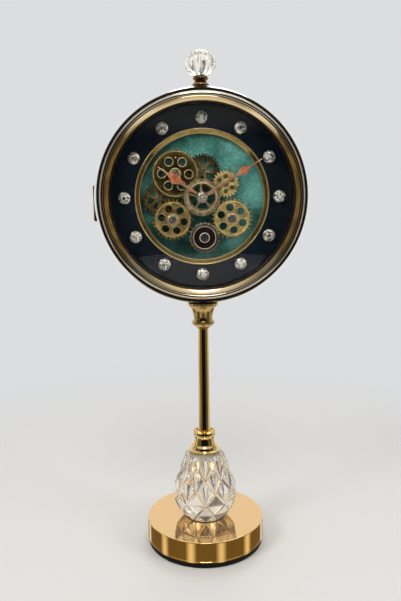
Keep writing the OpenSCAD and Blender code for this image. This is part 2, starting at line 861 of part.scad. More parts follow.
// Centre wheel: fine-ring gear, coarse gear and a trimmed spoked face in one
module centre_gear() {
  web_z = [layer_3, layer_4, layer_5];
  web_h = [gear_t + layer_gap, layer_5 - layer_4, trim_t];
  ring_open_r = root_r(ring_teeth, fine_module) - 1.2 * trim_t;
  color(rose_gold) at_gear(centre_at, 0) {
    translate([0, 0, web_z[0]]) linear_extrude(web_h[0]) difference() {
      gear_outline(ring_teeth, fine_module, 0);
      centre_windows(ring_open_r);
    }
    translate([0, 0, web_z[1]]) linear_extrude(web_h[1]) difference() {
      gear_outline(centre_teeth, coarse_module, 0);
      centre_windows(centre_open_r);
    }
    translate([0, 0, web_z[2]]) linear_extrude(web_h[2]) difference() {
      trim_outline(trim_teeth, tip_r(centre_teeth, coarse_module), trim_t);
      centre_windows(centre_open_r);
    }
  }
}

module centre_windows(open_r) {
  circle(centre_bore_r);
  difference() {
    circle(open_r);
    circle(centre_hub_r);
    spokes(spoke_count, centre_open_r + over, 2 * trim_t, spoke_turn);
  }
}

// Plain plated wheel with round holes, a raised rim line and a hub boss
module coarse_wheel(z, turn, hole_turn) {
  line_r = root_r(z, coarse_module) - rim_w;
  circle_r = coarse_circle_share * pitch_r(z, coarse_module);
  hole_r = coarse_hole_share * pitch_r(z, coarse_module);
  linear_extrude(gear_t) difference() {
    gear_outline(z, coarse_module, turn);
    holes(hole_count, circle_r, hole_r, hole_turn);
    circle(post_bore_r);
  }
  translate([0, 0, gear_t]) {
    ring(line_r + rim_w / 2, line_r - rim_w / 2, rim_h);
    ring(wheel_hub_r, post_bore_r, hub_h);
    linear_extrude(hub_h) difference() {
      holes(hole_count, circle_r, hole_r + rim_w / 2, hole_turn);
      holes(hole_count, circle_r, hole_r, hole_turn);
    }
  }
}

// Pinion behind a wheel, with the sleeve that joins the two
module rear_pinion(z, turn, sleeve_h) {
  linear_extrude(gear_t) difference() {
    gear_outline(z, fine_module, turn);
    circle(post_bore_r);
  }
  translate([0, 0, gear_t]) ring(shoulder_r + rim_w / 2, post_bore_r, sleeve_h);
}

left_hole_turn = -10;
right_hole_turn = -20;

module left_gear() {
  color(gold) at_gear(left_at, 0) {
    translate([0, 0, layer_1]) rear_pinion(left_pinion_teeth, 0, layer_4 - layer_1 - gear_t);
    translate([0, 0, layer_4]) coarse_wheel(left_teeth, left_turn, left_hole_turn);
  }
}

module right_gear() {
  color(gold) at_gear(right_at, layer_4) coarse_wheel(right_teeth, right_turn, right_hole_turn);
}

drive_dish_r = drive_dish_share * pitch_r(drive_teeth, coarse_module);
drive_hub_r = drive_hub_share * pitch_r(drive_teeth, coarse_module);

// Small driving gear with a dished face, pressed on the motor's shaft
module drive_gear() {
  color(bronze) at_gear(drive_at, layer_4) {
    linear_extrude(gear_t + layer_gap) difference() {
      gear_outline(drive_teeth, coarse_module, drive_turn);
      circle(shaft_r);
    }
    translate([0, 0, gear_t + layer_gap]) linear_extrude(trim_t) difference() {
      trim_outline(drive_trim_teeth, tip_r(drive_teeth, coarse_module) - trim_t / 2, trim_t);
      circle(drive_dish_r);
    }
    translate([0, 0, gear_t + layer_gap]) ring(drive_hub_r, shaft_r + trim_t, 1.4 * trim_t);
  }
}

module drive_shaft() {
  color(steel) at_gear(drive_at, board_back - motor_l / 2)
    cylinder(r = shaft_r, h = layer_4 + gear_t + layer_gap + trim_t / 2 - board_back + motor_l / 2);
}

upper_hole_turn = 30;

// Light wheel with small holes, on the pinion that drives the petal gear
module upper_gear() {
  pitch = pitch_r(upper_teeth, fine_module);
  color(gold) at_gear(upper_at, 0) {
    translate([0, 0, layer_1]) rear_pinion(upper_pinion_teeth, 0, layer_3 - layer_1 - gear_t);
    translate([0, 0, layer_3]) {
      linear_extrude(gear_t) difference() {
        gear_outline(upper_teeth, fine_module, upper_turn);
        holes(hole_count, upper_circle_share * pitch, upper_hole_share * pitch, upper_hole_turn);
        circle(post_bore_r);
      }
      translate([0, 0, gear_t]) ring(wheel_hub_r - rim_w, post_bore_r, hub_h);
    }
  }
}

// First petal of each petal wheel, from the right-hand side
petal_first_a = 83;
side_first_a = 75;

module petal_wheel(z, turn, first_a) {
  pitch = pitch_r(z, fine_module);
  linear_extrude(gear_t) difference() {
    gear_outline(z, fine_module, turn);
    petals(hole_count, petal_circle_share * pitch, petal_hole_share * pitch, first_a);
    circle(post_bore_r);
  }
}

module petal_gear() {
  color(bronze) at_gear(petal_at, layer_1) petal_wheel(petal_teeth, petal_turn, petal_first_a);
}

module side_gear() {
  color(bronze) at_gear(side_at, layer_1) petal_wheel(side_teeth, side_turn, side_first_a);
}

big_hole_turn = -2;

// Largest wheel, with a thin raised rim line and a broad hub
module big_gear() {
  pitch = pitch_r(big_teeth, fine_module);
  color(olive_gold) at_gear(big_at, 0) {
    translate([0, 0, layer_1]) rear_pinion(big_pinion_teeth, big_pinion_turn, layer_gap);
    translate([0, 0, layer_2]) {
      linear_extrude(gear_t) difference() {
        gear_outline(big_teeth, fine_module, 0);
        holes(hole_count, big_circle_share * pitch, big_hole_share * pitch, big_hole_turn);
        circle(post_bore_r);
      }
      translate([0, 0, gear_t]) {
        ring(root_r(big_teeth, fine_module) + rim_w / 2, root_r(big_teeth, fine_module) - rim_w / 2,
             layer_gap - play);
        ring(big_hub_r, post_bore_r, hub_h);
      }
    }
  }
}

// Hand: a hub, a straight stem, a round bulb and a drawn-out tip, pointing up
module hand_blade(l, w, bulb_share, bulb_r, bore) {
  bulb_at = bulb_share * l;
  shoulder = bulb_at + 0.5 * bulb_r;
  linear_extrude(hand_t) difference() {
    union() {
      circle(hand_hub_r);
      translate([-w / 2, 0]) square([w, bulb_at]);
      translate([0, bulb_at]) circle(bulb_r);
      polygon([[-0.866 * bulb_r, shoulder], [0.866 * bulb_r, shoulder],
               [0.34 * bulb_r, bulb_at + 1.55 * bulb_r],
               [0.5 * hand_tip_w + 0.06 * w, bulb_at + 2.4 * bulb_r],
               [0.5 * hand_tip_w, l], [-0.5 * hand_tip_w, l],
               [-0.5 * hand_tip_w - 0.06 * w, bulb_at + 2.4 * bulb_r],
               [-0.34 * bulb_r, bulb_at + 1.55 * bulb_r]]);
      polygon([[-0.86 * bulb_r, bulb_at - 0.5 * bulb_r], [-w / 2, bulb_at - 1.5 * bulb_r],
               [w / 2, bulb_at - 1.5 * bulb_r], [0.86 * bulb_r, bulb_at - 0.5 * bulb_r]]);
    }
    circle(bore);
  }
}

module hour_hand() {
  color(copper) head() rotate(-time_min / 2) translate([0, 0, hour_z])
    hand_blade(hour_l, hour_w, hour_bulb_share, hour_bulb_r, pipe_r);
}

module hour_pipe() {
  color(gold) head() translate([0, 0, arbor_z]) ring(pipe_r, arbor_r + run_gap, hour_z + hand_t - arbor_z);
}

module minute_hand() {
  color(copper) head() rotate(-6 * time_min) translate([0, 0, minute_z])
    hand_blade(minute_l, minute_w, minute_bulb_share, minute_bulb_r, arbor_r);
}

module minute_arbor() {
  color(steel) head() translate([0, 0, arbor_z])
    cylinder(r = arbor_r, h = nut_front - cap_h - arbor_z);
}

// Domed nut on the arbor in front of both hands
module hand_nut() {
  h = nut_h_front;
  color(copper) head() translate([0, 0, minute_z + hand_t]) difference() {
    turned([[0, 0], [0.75 * hand_hub_r, 0], [0.75 * hand_hub_r, 0.4 * h],
            [0.5 * hand_hub_r, 0.85 * h], [0.25 * hand_hub_r, h], [0, h]]);
    translate([0, 0, -over]) cylinder(r = arbor_r, h = h - cap_h + over);
  }
}

module rounded_square(w, h, r) {
  union() {
    translate([-w / 2 + r, -h / 2]) square([w - 2 * r, h]);
    translate([-w / 2, -h / 2 + r]) square([w, h - 2 * r]);
    for (x = [-1, 1], y = [-1, 1]) translate([x * (w / 2 - r), y * (h / 2 - r)]) circle(r);
  }
}

// Closed movement with an open bay for its cell
module movement_box() {
  color(black) head() difference() {
    translate([0, 0, board_back - movement_d]) linear_extrude(movement_d)
      rounded_square(movement_w, movement_w, corner_r);
    translate([clock_cell_x - cell_r - cell_play, -cell_l / 2 - cell_play, board_back - movement_d - over])
      cube([2 * (cell_r + cell_play), cell_l + 2 * cell_play, movement_d - cell_wall + over]);
    translate([knob_x, knob_z, board_back - movement_d - over])
      cylinder(r = knob_shaft_r + run_gap, h = over + movement_d / 3);
    translate([0, 0, board_back - movement_d / 3]) cylinder(r = pipe_r + run_gap, h = movement_d);
  }
}

// Fixed stem round the pipe: it clamps the board and carries the centre wheel
module movement_stem() {
  color(gold) head() translate([0, 0, board_back])
    ring(stem_r, pipe_r + run_gap, layer_5 + trim_t + seat_play + cap_h - board_back);
}

module stem_nut() {
  color(gold) head() {
    translate([0, 0, plate_front]) linear_extrude(stem_nut_h) difference() {
      circle(stem_nut_r, $fn = 6);
      circle(stem_r);
    }
    translate([0, 0, plate_front + stem_nut_h])
      ring(centre_hub_r - trim_t, stem_r, layer_3 - seat_play - plate_front - stem_nut_h);
  }
}

module clock_cell() {
  color(steel) head()
    translate([clock_cell_x, -cell_l / 2, board_back - cell_wall - cell_r]) rotate([-90, 0, 0]) pen_cell();
}

// Cell with its raised positive cap
module pen_cell() {
  cap_l = cell_l / 50;
  cylinder(r = cell_r, h = cell_l - cap_l);
  translate([0, 0, cell_l - cap_l]) cylinder(r = 0.38 * cell_r, h = cap_l);
}

// Setting knob with finger flutes and a short shaft
module setting_knob() {
  color(ivory) at_gear([knob_x, knob_z], board_back - movement_d - seat_gap - knob_h) {
    linear_extrude(knob_h) difference() {
      circle(knob_r);
      for (i = [0 : 11]) rotate(30 * i) translate([knob_r + 0.1 * knob_r, 0]) circle(0.2 * knob_r);
    }
    translate([0, 0, knob_h]) cylinder(r = knob_shaft_r, h = seat_gap + movement_d / 4);
  }
}

// Round gear motor behind the driving gear
module gear_motor() {
  color(steel) at_gear(drive_at, 0) difference() {
    union() {
      translate([0, 0, board_back - motor_l]) cylinder(r = motor_r, h = motor_l);
      translate([0, 0, board_back]) cylinder(r = motor_bush_r, h = plate_front - board_back);
    }
    translate([0, 0, board_back - motor_l / 2 - over]) cylinder(r = shaft_r + run_gap, h = 2 * motor_l);
  }
}

// Battery box for two cells, with a switch bay at its side
box_in_w = cell_l + 2 * cell_play;
box_in_h = 4 * cell_r + 3 * cell_play;
box_d = 2 * cell_r + cell_play + box_wall;
box_w = box_in_w + 2 * box_wall;
box_h = box_in_h + 2 * box_wall;
bay_w = switch_w + 4 * box_wall;
box_y = drive_at[1] - motor_r - box_play - box_h / 2;
box_back = board_back - box_d - lid_t - play;

module battery_box() {
  color(black) head() difference() {
    translate([-box_w / 2, box_y - box_h / 2, box_back]) cube([box_w + bay_w, box_h, board_back - box_back]);
    translate([-box_in_w / 2, box_y - box_in_h / 2, box_back - over])
      cube([box_in_w, box_in_h, box_d + lid_t + play - box_wall + over]);
    lid_slot(play);
    translate([box_w / 2 + bay_w / 2 - switch_w / 2 - play,
               box_y - (switch_l + switch_travel) / 2 - play, box_back - over])
      cube([switch_w + 2 * play, switch_l + switch_travel + 2 * play, box_d / 2 + over]);
  }
}

// Space that the sliding lid runs in, open at the top of the box
module lid_slot(gap) {
  translate([-box_in_w / 2 - box_wall / 2 - gap, box_y - box_in_h / 2 - gap, box_back - over])
    cube([box_in_w + box_wall + 2 * gap, box_h + over, lid_t + gap + over]);
}

module battery_cells() {
  color(copper) head() for (i = [-1, 1])
    translate([0, box_y + i * (cell_r + cell_play / 2), board_back - box_wall - cell_r])
      rotate([0, 0, 90 * i])
      rotate([90, 0, 0]) translate([0, 0, -cell_l / 2]) pen_cell();
}

module battery_lid() {
  color(black) head() translate([-box_in_w / 2 - box_wall / 2, box_y - box_in_h / 2, box_back]) {
    cube([box_in_w + box_wall, box_in_h + box_wall, lid_t]);
    translate([box_w / 3, box_in_h - 3 * lid_t, -lid_t / 2]) cube([box_w / 3, lid_t, lid_t / 2]);
  }
}

module power_switch() {
  color(ivory) head()
    translate([box_w / 2 + bay_w / 2 - switch_w / 2, box_y - (switch_l + switch_travel) / 2,
               box_back - switch_proud])
      cube([switch_w, switch_l, switch_proud + box_d / 3]);
}

// Rear door: a flat disc with a catch on the side away from its hinge
module rear_door() {
  color(black) head() {
    translate([0, 0, door_back]) cylinder(r = door_r, h = door_t);
    translate([rear_open_r - catch_gap - catch_w - over, -catch_l / 2, door_front])
      cube([catch_w, catch_l, seat_gap + catch_h]);
  }
}

knuckle_l = hinge_l / 3;

module hinge_frame() {
  head() translate([hinge_x, hinge_y, hinge_z]) children();
}

module knuckle(y0, l, bore) {
  translate([0, y0, 0]) rotate([-90, 0, 0]) difference() {
    cylinder(r = hinge_r, h = l);
    translate([0, 0, -over]) cylinder(r = bore, h = l + 2 * over);
  }
}

// Outline of sheet that follows the case's skin between two depths
module skin_profile(gap, s0, s1) {
  intersection() {
    translate([case_r - case_arc_r, 0]) difference() {
      circle(case_arc_r + gap + leaf_t, $fn = case_fn);
      circle(case_arc_r + gap, $fn = case_fn);
    }
    translate([case_r - case_arc_r, s0]) square([case_arc_r + gap + leaf_t, s1 - s0]);
  }
}

// Stretch of a turned outline on the left of the case, of a given height round the hinge
module side_strip(l) {
  intersection() {
    head() rotate_extrude($fn = case_fn) children();
    head() translate([-case_r - 2 * leaf_t, hinge_y - l / 2, -case_d]) cube([case_r / 2, l, 2 * case_d]);
  }
}

// Leaf that runs from behind the door round the case's rim to the middle knuckle
module door_leaf() {
  l = knuckle_l - 2 * seat_gap;
  inner = skin_at(seat_gap, case_front);
  outer = skin_at(seat_gap + leaf_t, case_front);
  color(olive_gold) {
    hinge_frame() knuckle(-l / 2, l, hinge_pin_r + run_gap);
    side_strip(l) {
      skin_profile(seat_gap, -case_front, hinge_z);
      polygon([
        [inner, -case_front], [outer, -case_front], [outer, door_back - leaf_t],
        [door_r - tab_reach, door_back - leaf_t], [door_r - tab_reach, door_back],
        [inner, door_back]]);
    }
  }
}

// Leaf on the case's side, with the two outer knuckles and room for the middle one
module case_leaf() {
  room = hinge_r + seat_gap;
  color(olive_gold) difference() {
    union() {
      hinge_frame() for (i = [-1, 1])
        knuckle(i * knuckle_l - knuckle_l / 2, knuckle_l, hinge_pin_r);
      side_strip(hinge_l) skin_profile(0, hinge_z, hinge_z + leaf_reach);
    }
    hinge_frame() translate([-2 * room, -knuckle_l / 2, -room]) cube([4 * room, knuckle_l, 2 * room]);
  }
}

module hinge_pin() {
  color(steel) hinge_frame() rotate([-90, 0, 0]) {
    translate([0, 0, -hinge_l / 2]) cylinder(r = hinge_pin_r, h = hinge_l);
    for (z = [-hinge_l / 2 - pin_head_h, hinge_l / 2]) translate([0, 0, z])
      cylinder(r = 1.5 * hinge_pin_r, h = pin_head_h);
  }
}

// Gold neck that stands on the case's curve
module finial_neck() {
  h = neck_h;
  foot = head_z + case_r;
  color(gold) difference() {
    translate([0, 0, foot]) union() {
      turned([[0, -0.2 * h], [neck_foot_r, -0.2 * h], [neck_foot_r, 0.12 * h],
              [(neck_foot_r + neck_waist_r) / 2, 0.26 * h], [neck_waist_r, 0.42 * h],
              [neck_ring_r, 0.56 * h], [neck_ring_r, 0.92 * h], [0.95 * neck_ring_r, h],
              [0, h]]);
    }
    case_envelope(0);
    translate([0, 0, foot - h]) cylinder(r = stud_r + play, h = 3 * h);
  }
}

finial_z = head_z + case_r + neck_h;

module finial_crystal() {
  color(crystal) difference() {
    translate([0, 0, finial_z])
      cut_crystal(finial_r, finial_h, finial_shares, 2 * finial_lobes, false, finial_flute_share);
    translate([0, 0, finial_z - over]) cylinder(r = stud_r, h = stud_up_share * finial_h + over);
  }
}

// Stud with a head inside the case, up into the crystal
module finial_stud() {
  seat = head_z + case_r - case_wall - washer_t;
  color(steel) difference() {
    union() {
      translate([0, 0, seat - washer_t])
        cylinder(r = stud_r, h = finial_z + stud_up_share * finial_h - seat + washer_t);
      translate([0, 0, seat - washer_t]) cylinder(r = washer_r / 2, h = 3 * washer_t);
    }
    difference() {
      translate([0, 0, seat - over]) ring(washer_r, stud_r, 4 * washer_t);
      case_envelope(case_wall);
    }
  }
}

base_pad();
base_shell();
base_weight();
rod_foot_nut();
tie_rod();
rod_head_nut();
egg_washers();
crystal_egg();
lower_collar();
column_tube();
upper_capital();
saddle_washer();
case_band();
case_gasket();
bezel_frame();
bezel_glass();
glass_retainer();
dial_sleeve();
dial_board();
board_screws();
dial_plate();
dial_step_ring();
dial_ring();
hour_stones();
gear_posts();
gear_caps();
centre_gear();
left_gear();
right_gear();
drive_gear();
drive_shaft();
upper_gear();
petal_gear();
side_gear();
big_gear();
hour_hand();
hour_pipe();
minute_hand();
minute_arbor();
hand_nut();
movement_box();
movement_stem();
stem_nut();
clock_cell();
setting_knob();
gear_motor();
battery_box();
battery_cells();
battery_lid();
power_switch();
rear_door();
door_leaf();
case_leaf();
hinge_pin();
finial_neck();
finial_crystal();
finial_stud();
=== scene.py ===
import json
import math
import random

import bmesh
import bpy
from mathutils import Matrix, Vector

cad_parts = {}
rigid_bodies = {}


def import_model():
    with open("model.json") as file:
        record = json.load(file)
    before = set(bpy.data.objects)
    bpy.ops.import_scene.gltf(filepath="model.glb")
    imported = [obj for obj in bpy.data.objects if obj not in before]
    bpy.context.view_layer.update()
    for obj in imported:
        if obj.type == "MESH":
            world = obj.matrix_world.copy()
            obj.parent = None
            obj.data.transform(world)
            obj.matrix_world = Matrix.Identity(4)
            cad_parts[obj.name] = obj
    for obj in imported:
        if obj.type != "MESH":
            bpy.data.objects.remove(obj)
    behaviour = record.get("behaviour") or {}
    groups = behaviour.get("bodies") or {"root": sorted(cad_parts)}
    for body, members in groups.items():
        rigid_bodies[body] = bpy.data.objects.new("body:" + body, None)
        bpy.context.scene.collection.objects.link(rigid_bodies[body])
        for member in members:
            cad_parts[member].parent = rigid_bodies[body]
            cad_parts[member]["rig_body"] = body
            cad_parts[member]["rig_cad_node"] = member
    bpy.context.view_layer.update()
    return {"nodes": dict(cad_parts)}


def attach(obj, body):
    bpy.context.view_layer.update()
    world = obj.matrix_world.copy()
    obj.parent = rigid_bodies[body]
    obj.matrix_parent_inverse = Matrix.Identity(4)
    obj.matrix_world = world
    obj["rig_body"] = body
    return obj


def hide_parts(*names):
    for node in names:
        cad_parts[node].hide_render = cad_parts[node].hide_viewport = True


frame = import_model()
NODE = frame["nodes"]

MM = 0.001
HEAD_Z = 369            # height of the head's centre above the floor, in mm
MIDDLE = (0, 0)         # place in the head of a piece that is turned about its axis
FULL_TURN = 2 * math.pi


# Camera, lamps and floor

def place_camera():
    """Camera at the photograph's place: a little above the dial's middle, looking down."""
    eye = Vector((-0.0105, -0.652, 0.374))
    down, right_turn, roll = (math.radians(a) for a in (9.6, 0.7, -0.68))
    ahead = Vector((math.sin(right_turn) * math.cos(down),
                    math.cos(right_turn) * math.cos(down), -math.sin(down)))
    level = Vector((math.cos(right_turn), -math.sin(right_turn), 0))
    up = level.cross(ahead)
    side = level * math.cos(roll) + up * math.sin(roll)
    top = up * math.cos(roll) - level * math.sin(roll)
    bpy.ops.object.camera_add()
    camera = bpy.context.object
    camera.data.lens = 38.34
    camera.data.sensor_width = 36
    camera.data.clip_start = 0.01
    camera.matrix_world = Matrix.Translation(eye) @ Matrix((side, top, -ahead)).transposed().to_4x4()
    bpy.context.scene.camera = camera


def lamp(place, target, size, power, mirrored=True):
    """Round soft lamp; one that isn't mirrored lights the clock and leaves no spot on the plating."""
    bpy.ops.object.light_add(type="AREA", location=place)
    light = bpy.context.object
    light.data.shape = "DISK"
    light.data.size = size
    light.data.energy = power
    light.visible_glossy = mirrored
    light.rotation_euler = (Vector(target) - Vector(place)).to_track_quat("-Z", "Y").to_euler()


def linear(hex_code):
    """sRGB hex to linear RGBA."""
    parts = [int(hex_code[i:i + 2], 16) / 255 for i in (1, 3, 5)]
    return [c / 12.92 if c <= 0.04045 else ((c + 0.055) / 1.055) ** 2.4 for c in parts] + [1.0]


def add_node(tree, kind, settings=None, links=None, stops=()):
    """Adds a node. A setting is an input's value or a property, a link names the source socket,
    and the stops of a colour ramp are (place, colour) pairs."""
    node = tree.nodes.new(kind)
    for key, value in (settings or {}).items():
        if isinstance(key, int) or key in node.inputs:
            node.inputs[key].default_value = value
        else:
            setattr(node, key, value)
    for key, source in (links or {}).items():
        tree.links.new(source, node.inputs[key])
    if stops:
        elements = node.color_ramp.elements
        while len(elements) < len(stops):
            elements.new(0.5)
        for element, (spot, tone) in zip(elements, stops):
            element.position = spot
            element.color = linear(tone)
    return node


def light_room():
    """Studio that mirrors and glass see: drapes with upright lamps at even steps, the same to the
    left and to the right, and a pale floor, ceiling and back wall. Above the floor the front is
    dark, so that the domed glass stays clear."""
    pale, lit, drape, dim, shade = "#f0e8d8", "#fff8ec", "#786848", "#888880", "#101820"
    lamp_step, half_lamp, soft_edge, dark_front = 60, 2, 9, 33      # in degrees
    world = bpy.data.worlds.new("pale_room")
    bpy.context.scene.world = world
    world.use_nodes = True
    tree = world.node_tree
    tree.nodes.clear()
    out = add_node(tree, "ShaderNodeOutputWorld")
    where = add_node(tree, "ShaderNodeTexCoord")
    split = add_node(tree, "ShaderNodeSeparateXYZ", links={0: where.outputs["Generated"]})
    ahead = add_node(tree, "ShaderNodeMath", {"operation": "MULTIPLY", 1: -1.0},
                     {0: split.outputs["Y"]})
    turn = add_node(tree, "ShaderNodeMath", {"operation": "ARCTAN2"},
                    {0: split.outputs["X"], 1: ahead.outputs[0]})
    aside = add_node(tree, "ShaderNodeMath", {"operation": "ABSOLUTE"}, {0: turn.outputs[0]})
    share = add_node(tree, "ShaderNodeMapRange", {"From Max": math.pi}, {"Value": aside.outputs[0]})

    def drapes(front, front_end, first_lamp):
        """Tones by degrees from the front: the front's own, then drapes broken by the lamps."""
        stops = [(0, front), (front_end, front), (front_end + soft_edge, drape)]
        for lamp_at in range(first_lamp, 180, lamp_step):
            stops += [(lamp_at - half_lamp - soft_edge, drape), (lamp_at - half_lamp, lit),
                      (lamp_at + half_lamp, lit), (lamp_at + half_lamp + soft_edge, drape)]
        return add_node(tree, "ShaderNodeValToRGB", links={"Fac": share.outputs[0]},
                        stops=[(angle / 180, tone) for angle, tone in stops]).outputs[0]

    near_floor = drapes(drape, 0, lamp_step // 2)
    upright = drapes(shade, dark_front, lamp_step + lamp_step // 2)
    # Folds in the drapes break the reflections up
    cloth = add_node(tree, "ShaderNodeTexNoise", {"Scale": 13.0, "Detail": 1.0},
                     {"Vector": where.outputs["Generated"]})
    folds = add_node(tree, "ShaderNodeMapRange", {
        "From Min": 0.38, "From Max": 0.62, "To Min": 0.5, "To Max": 1.35},
        {"Value": cloth.outputs["Fac"]})
    folded = add_node(tree, "ShaderNodeVectorMath", {"operation": "SCALE"},
                      {0: upright, "Scale": folds.outputs[0]}).outputs[0]
    seen_in = near_floor
    # Bands one above another: each fades in between two heights, which are sines of the slope
    for start, end, tones in ((-0.47, -0.43, folded), (-0.6, -0.72, pale), (0.38, 0.5, dim),
                              (0.58, 0.72, pale)):
        height = add_node(tree, "ShaderNodeMapRange", {
            "interpolation_type": "SMOOTHSTEP", "From Min": start, "From Max": end},
            {"Value": split.outputs["Z"]})
        step = add_node(tree, "ShaderNodeMix", {"data_type": "RGBA"},
                        {0: height.outputs[0], 6: seen_in})
        if isinstance(tones, str):
            step.inputs[7].default_value = linear(tones)
        else:
            tree.links.new(tones, step.inputs[7])
        seen_in = step.outputs[2]
    behind = add_node(tree, "ShaderNodeMapRange", {
        "interpolation_type": "SMOOTHSTEP", "From Min": 0.1, "From Max": 0.55},
        {"Value": split.outputs["Y"]})
    above_floor = add_node(tree, "ShaderNodeMapRange", {
        "interpolation_type": "SMOOTHSTEP", "From Min": -0.46, "From Max": -0.38},
        {"Value": split.outputs["Z"]})
    back_wall = add_node(tree, "ShaderNodeMath", {"operation": "MULTIPLY"},
                         {0: behind.outputs[0], 1: above_floor.outputs[0]})
    everywhere = add_node(tree, "ShaderNodeMix", {"data_type": "RGBA", 7: linear("#f6f4f0")},
                          {0: back_wall.outputs[0], 6: seen_in})
    rays = add_node(tree, "ShaderNodeLightPath")
    sharp = add_node(tree, "ShaderNodeMath", {"operation": "MAXIMUM"},
                     {0: rays.outputs["Is Glossy Ray"], 1: rays.outputs["Is Transmission Ray"]})
    seen = add_node(tree, "ShaderNodeMath", {"operation": "MAXIMUM"},
                    {0: sharp.outputs[0], 1: rays.outputs["Is Camera Ray"]})
    plain = add_node(tree, "ShaderNodeBackground", {"Color": linear("#dcdddf"), "Strength": 1.0})
    around = add_node(tree, "ShaderNodeBackground", {"Strength": 1.05}, {"Color": everywhere.outputs[2]})
    soft = add_node(tree, "ShaderNodeBackground", {"Color": linear("#ffffff"), "Strength": 0.55})
    mirrored = add_node(tree, "ShaderNodeMixShader",
                        links={0: rays.outputs["Is Glossy Ray"], 1: plain.outputs[0], 2: around.outputs[0]})
    both = add_node(tree, "ShaderNodeMixShader",
                    links={0: seen.outputs[0], 1: soft.outputs[0], 2: mirrored.outputs[0]})
    tree.links.new(both.outputs[0], out.inputs[0])


# Materials

def new_material(name):
    material = bpy.data.materials.new(name)
    material.use_nodes = True
    return material, material.node_tree, material.node_tree.nodes["Principled BSDF"]


def patchy(name, light, dark, patch, metal, rough, grain, relief, sockets=None):
    """Finish whose colour drifts between two tones over patches of a size in mm, with a fine
    grain (size and depth in mm) and a roughness that varies between two values."""
    material, tree, shader = new_material(name)
    where = add_node(tree, "ShaderNodeTexCoord").outputs["Object"]
    drift = add_node(tree, "ShaderNodeTexNoise", {"Scale": 1 / (patch * MM), "Detail": 3.0},
                     {"Vector": where})
    tone = add_node(tree, "ShaderNodeMix", {"data_type": "RGBA", 6: linear(light), 7: linear(dark)},
                    {0: drift.outputs["Fac"]})
    tree.links.new(tone.outputs[2], shader.inputs["Base Color"])
    shine = add_node(tree, "ShaderNodeMapRange", {"To Min": rough[0], "To Max": rough[1]},
                     {"Value": drift.outputs["Fac"]})
    tree.links.new(shine.outputs[0], shader.inputs["Roughness"])
    fine = add_node(tree, "ShaderNodeTexNoise", {"Scale": 1 / (grain * MM), "Detail": 2.0},
                    {"Vector": where})
    bump = add_node(tree, "ShaderNodeBump", {"Distance": relief * MM, "Strength": 0.6},
                    {"Height": fine.outputs["Fac"]})
    tree.links.new(bump.outputs[0], shader.inputs["Normal"])
    shader.inputs["Metallic"].default_value = metal
    for key, value in (sockets or {}).items():
        shader.inputs[key].default_value = value
    return material


def banded(name, centre, bands, metal, rough, grain, relief):
    """Plated wheel whose tone changes with the distance from its own axis, with blotches of tarnish.
    Bands are (radius in mm, colour); on the wheels they hold the plating's tones with painted light: dishes
    darkened as painted reflection of the dark room, rims lightened as painted highlight."""
    material, tree, shader = new_material(name)
    where = add_node(tree, "ShaderNodeTexCoord").outputs["Object"]
    moved = add_node(tree, "ShaderNodeMapping", {
        "Location": (-centre[0] * MM, 0.0, -(HEAD_Z + centre[1]) * MM)}, {"Vector": where})
    flat = add_node(tree, "ShaderNodeVectorMath", {"operation": "MULTIPLY", 1: (1, 0, 1)},
                    {0: moved.outputs[0]})
    away = add_node(tree, "ShaderNodeVectorMath", {"operation": "LENGTH"}, {0: flat.outputs[0]})
    reach = bands[-1][0]
    share = add_node(tree, "ShaderNodeMapRange", {"From Max": reach * MM},
                     {"Value": away.outputs["Value"]})
    tones = add_node(tree, "ShaderNodeValToRGB", links={"Fac": share.outputs[0]},
                     stops=[(radius / reach, tone) for radius, tone in bands])
    fine = add_node(tree, "ShaderNodeTexNoise", {"Scale": 1 / (grain * MM), "Detail": 2.0},
                    {"Vector": where})
    blotch_size = 5.5
    blotch = add_node(tree, "ShaderNodeTexNoise", {
        "Scale": 1 / (blotch_size * MM), "Detail": 3.0, "Roughness": 0.65}, {"Vector": where})
    shade = add_node(tree, "ShaderNodeMapRange", {
        "From Min": 0.36, "From Max": 0.66, "To Min": 0.5, "To Max": 1.3},
        {"Value": blotch.outputs["Fac"]})
    tarnish_and_highlight = add_node(tree, "ShaderNodeVectorMath", {"operation": "SCALE"},
                    {0: tones.outputs[0], "Scale": shade.outputs[0]})
    tree.links.new(tarnish_and_highlight.outputs[0], shader.inputs["Base Color"])
    shine = add_node(tree, "ShaderNodeMapRange", {"To Min": rough[0], "To Max": rough[1]},
                     {"Value": fine.outputs["Fac"]})
    tree.links.new(shine.outputs[0], shader.inputs["Roughness"])
    bump = add_node(tree, "ShaderNodeBump", {"Distance": relief * MM, "Strength": 0.5},
                    {"Height": fine.outputs["Fac"]})
    tree.links.new(bump.outputs[0], shader.inputs["Normal"])
    shader.inputs["Metallic"].default_value = metal
    return material


def spun_gold():
    """Gold-plated steel, spun and polished: faint rings round the axis soften the mirror."""
    material, tree, shader = new_material("spun_polished_gold")
    where = add_node(tree, "ShaderNodeTexCoord").outputs["Object"]
    pitch = 0.9 * MM    # real lines are about 0.1 mm apart; drawn coarse enough to show
    unit_pitch = 0.314  # distance between the rings of this pattern at a scale of 1
    rings = add_node(tree, "ShaderNodeTexWave", {
        "wave_type": "RINGS", "rings_direction": "Z", "Scale": unit_pitch / pitch,
        "Distortion": 0.6, "Detail": 2.0, "Detail Scale": 0.4}, {"Vector": where})
    tone = add_node(tree, "ShaderNodeMix", {
        "data_type": "RGBA", 6: linear("#edca96"), 7: linear("#e8c28c")},
        {0: rings.outputs["Fac"]})
    tree.links.new(tone.outputs[2], shader.inputs["Base Color"])
    bump = add_node(tree, "ShaderNodeBump", {"Distance": 0.002 * MM, "Strength": 0.2},
                    {"Height": rings.outputs["Fac"]})
    tree.links.new(bump.outputs[0], shader.inputs["Normal"])
    shader.inputs["Metallic"].default_value = 1.0
    shader.inputs["Roughness"].default_value = 0.07
    return material


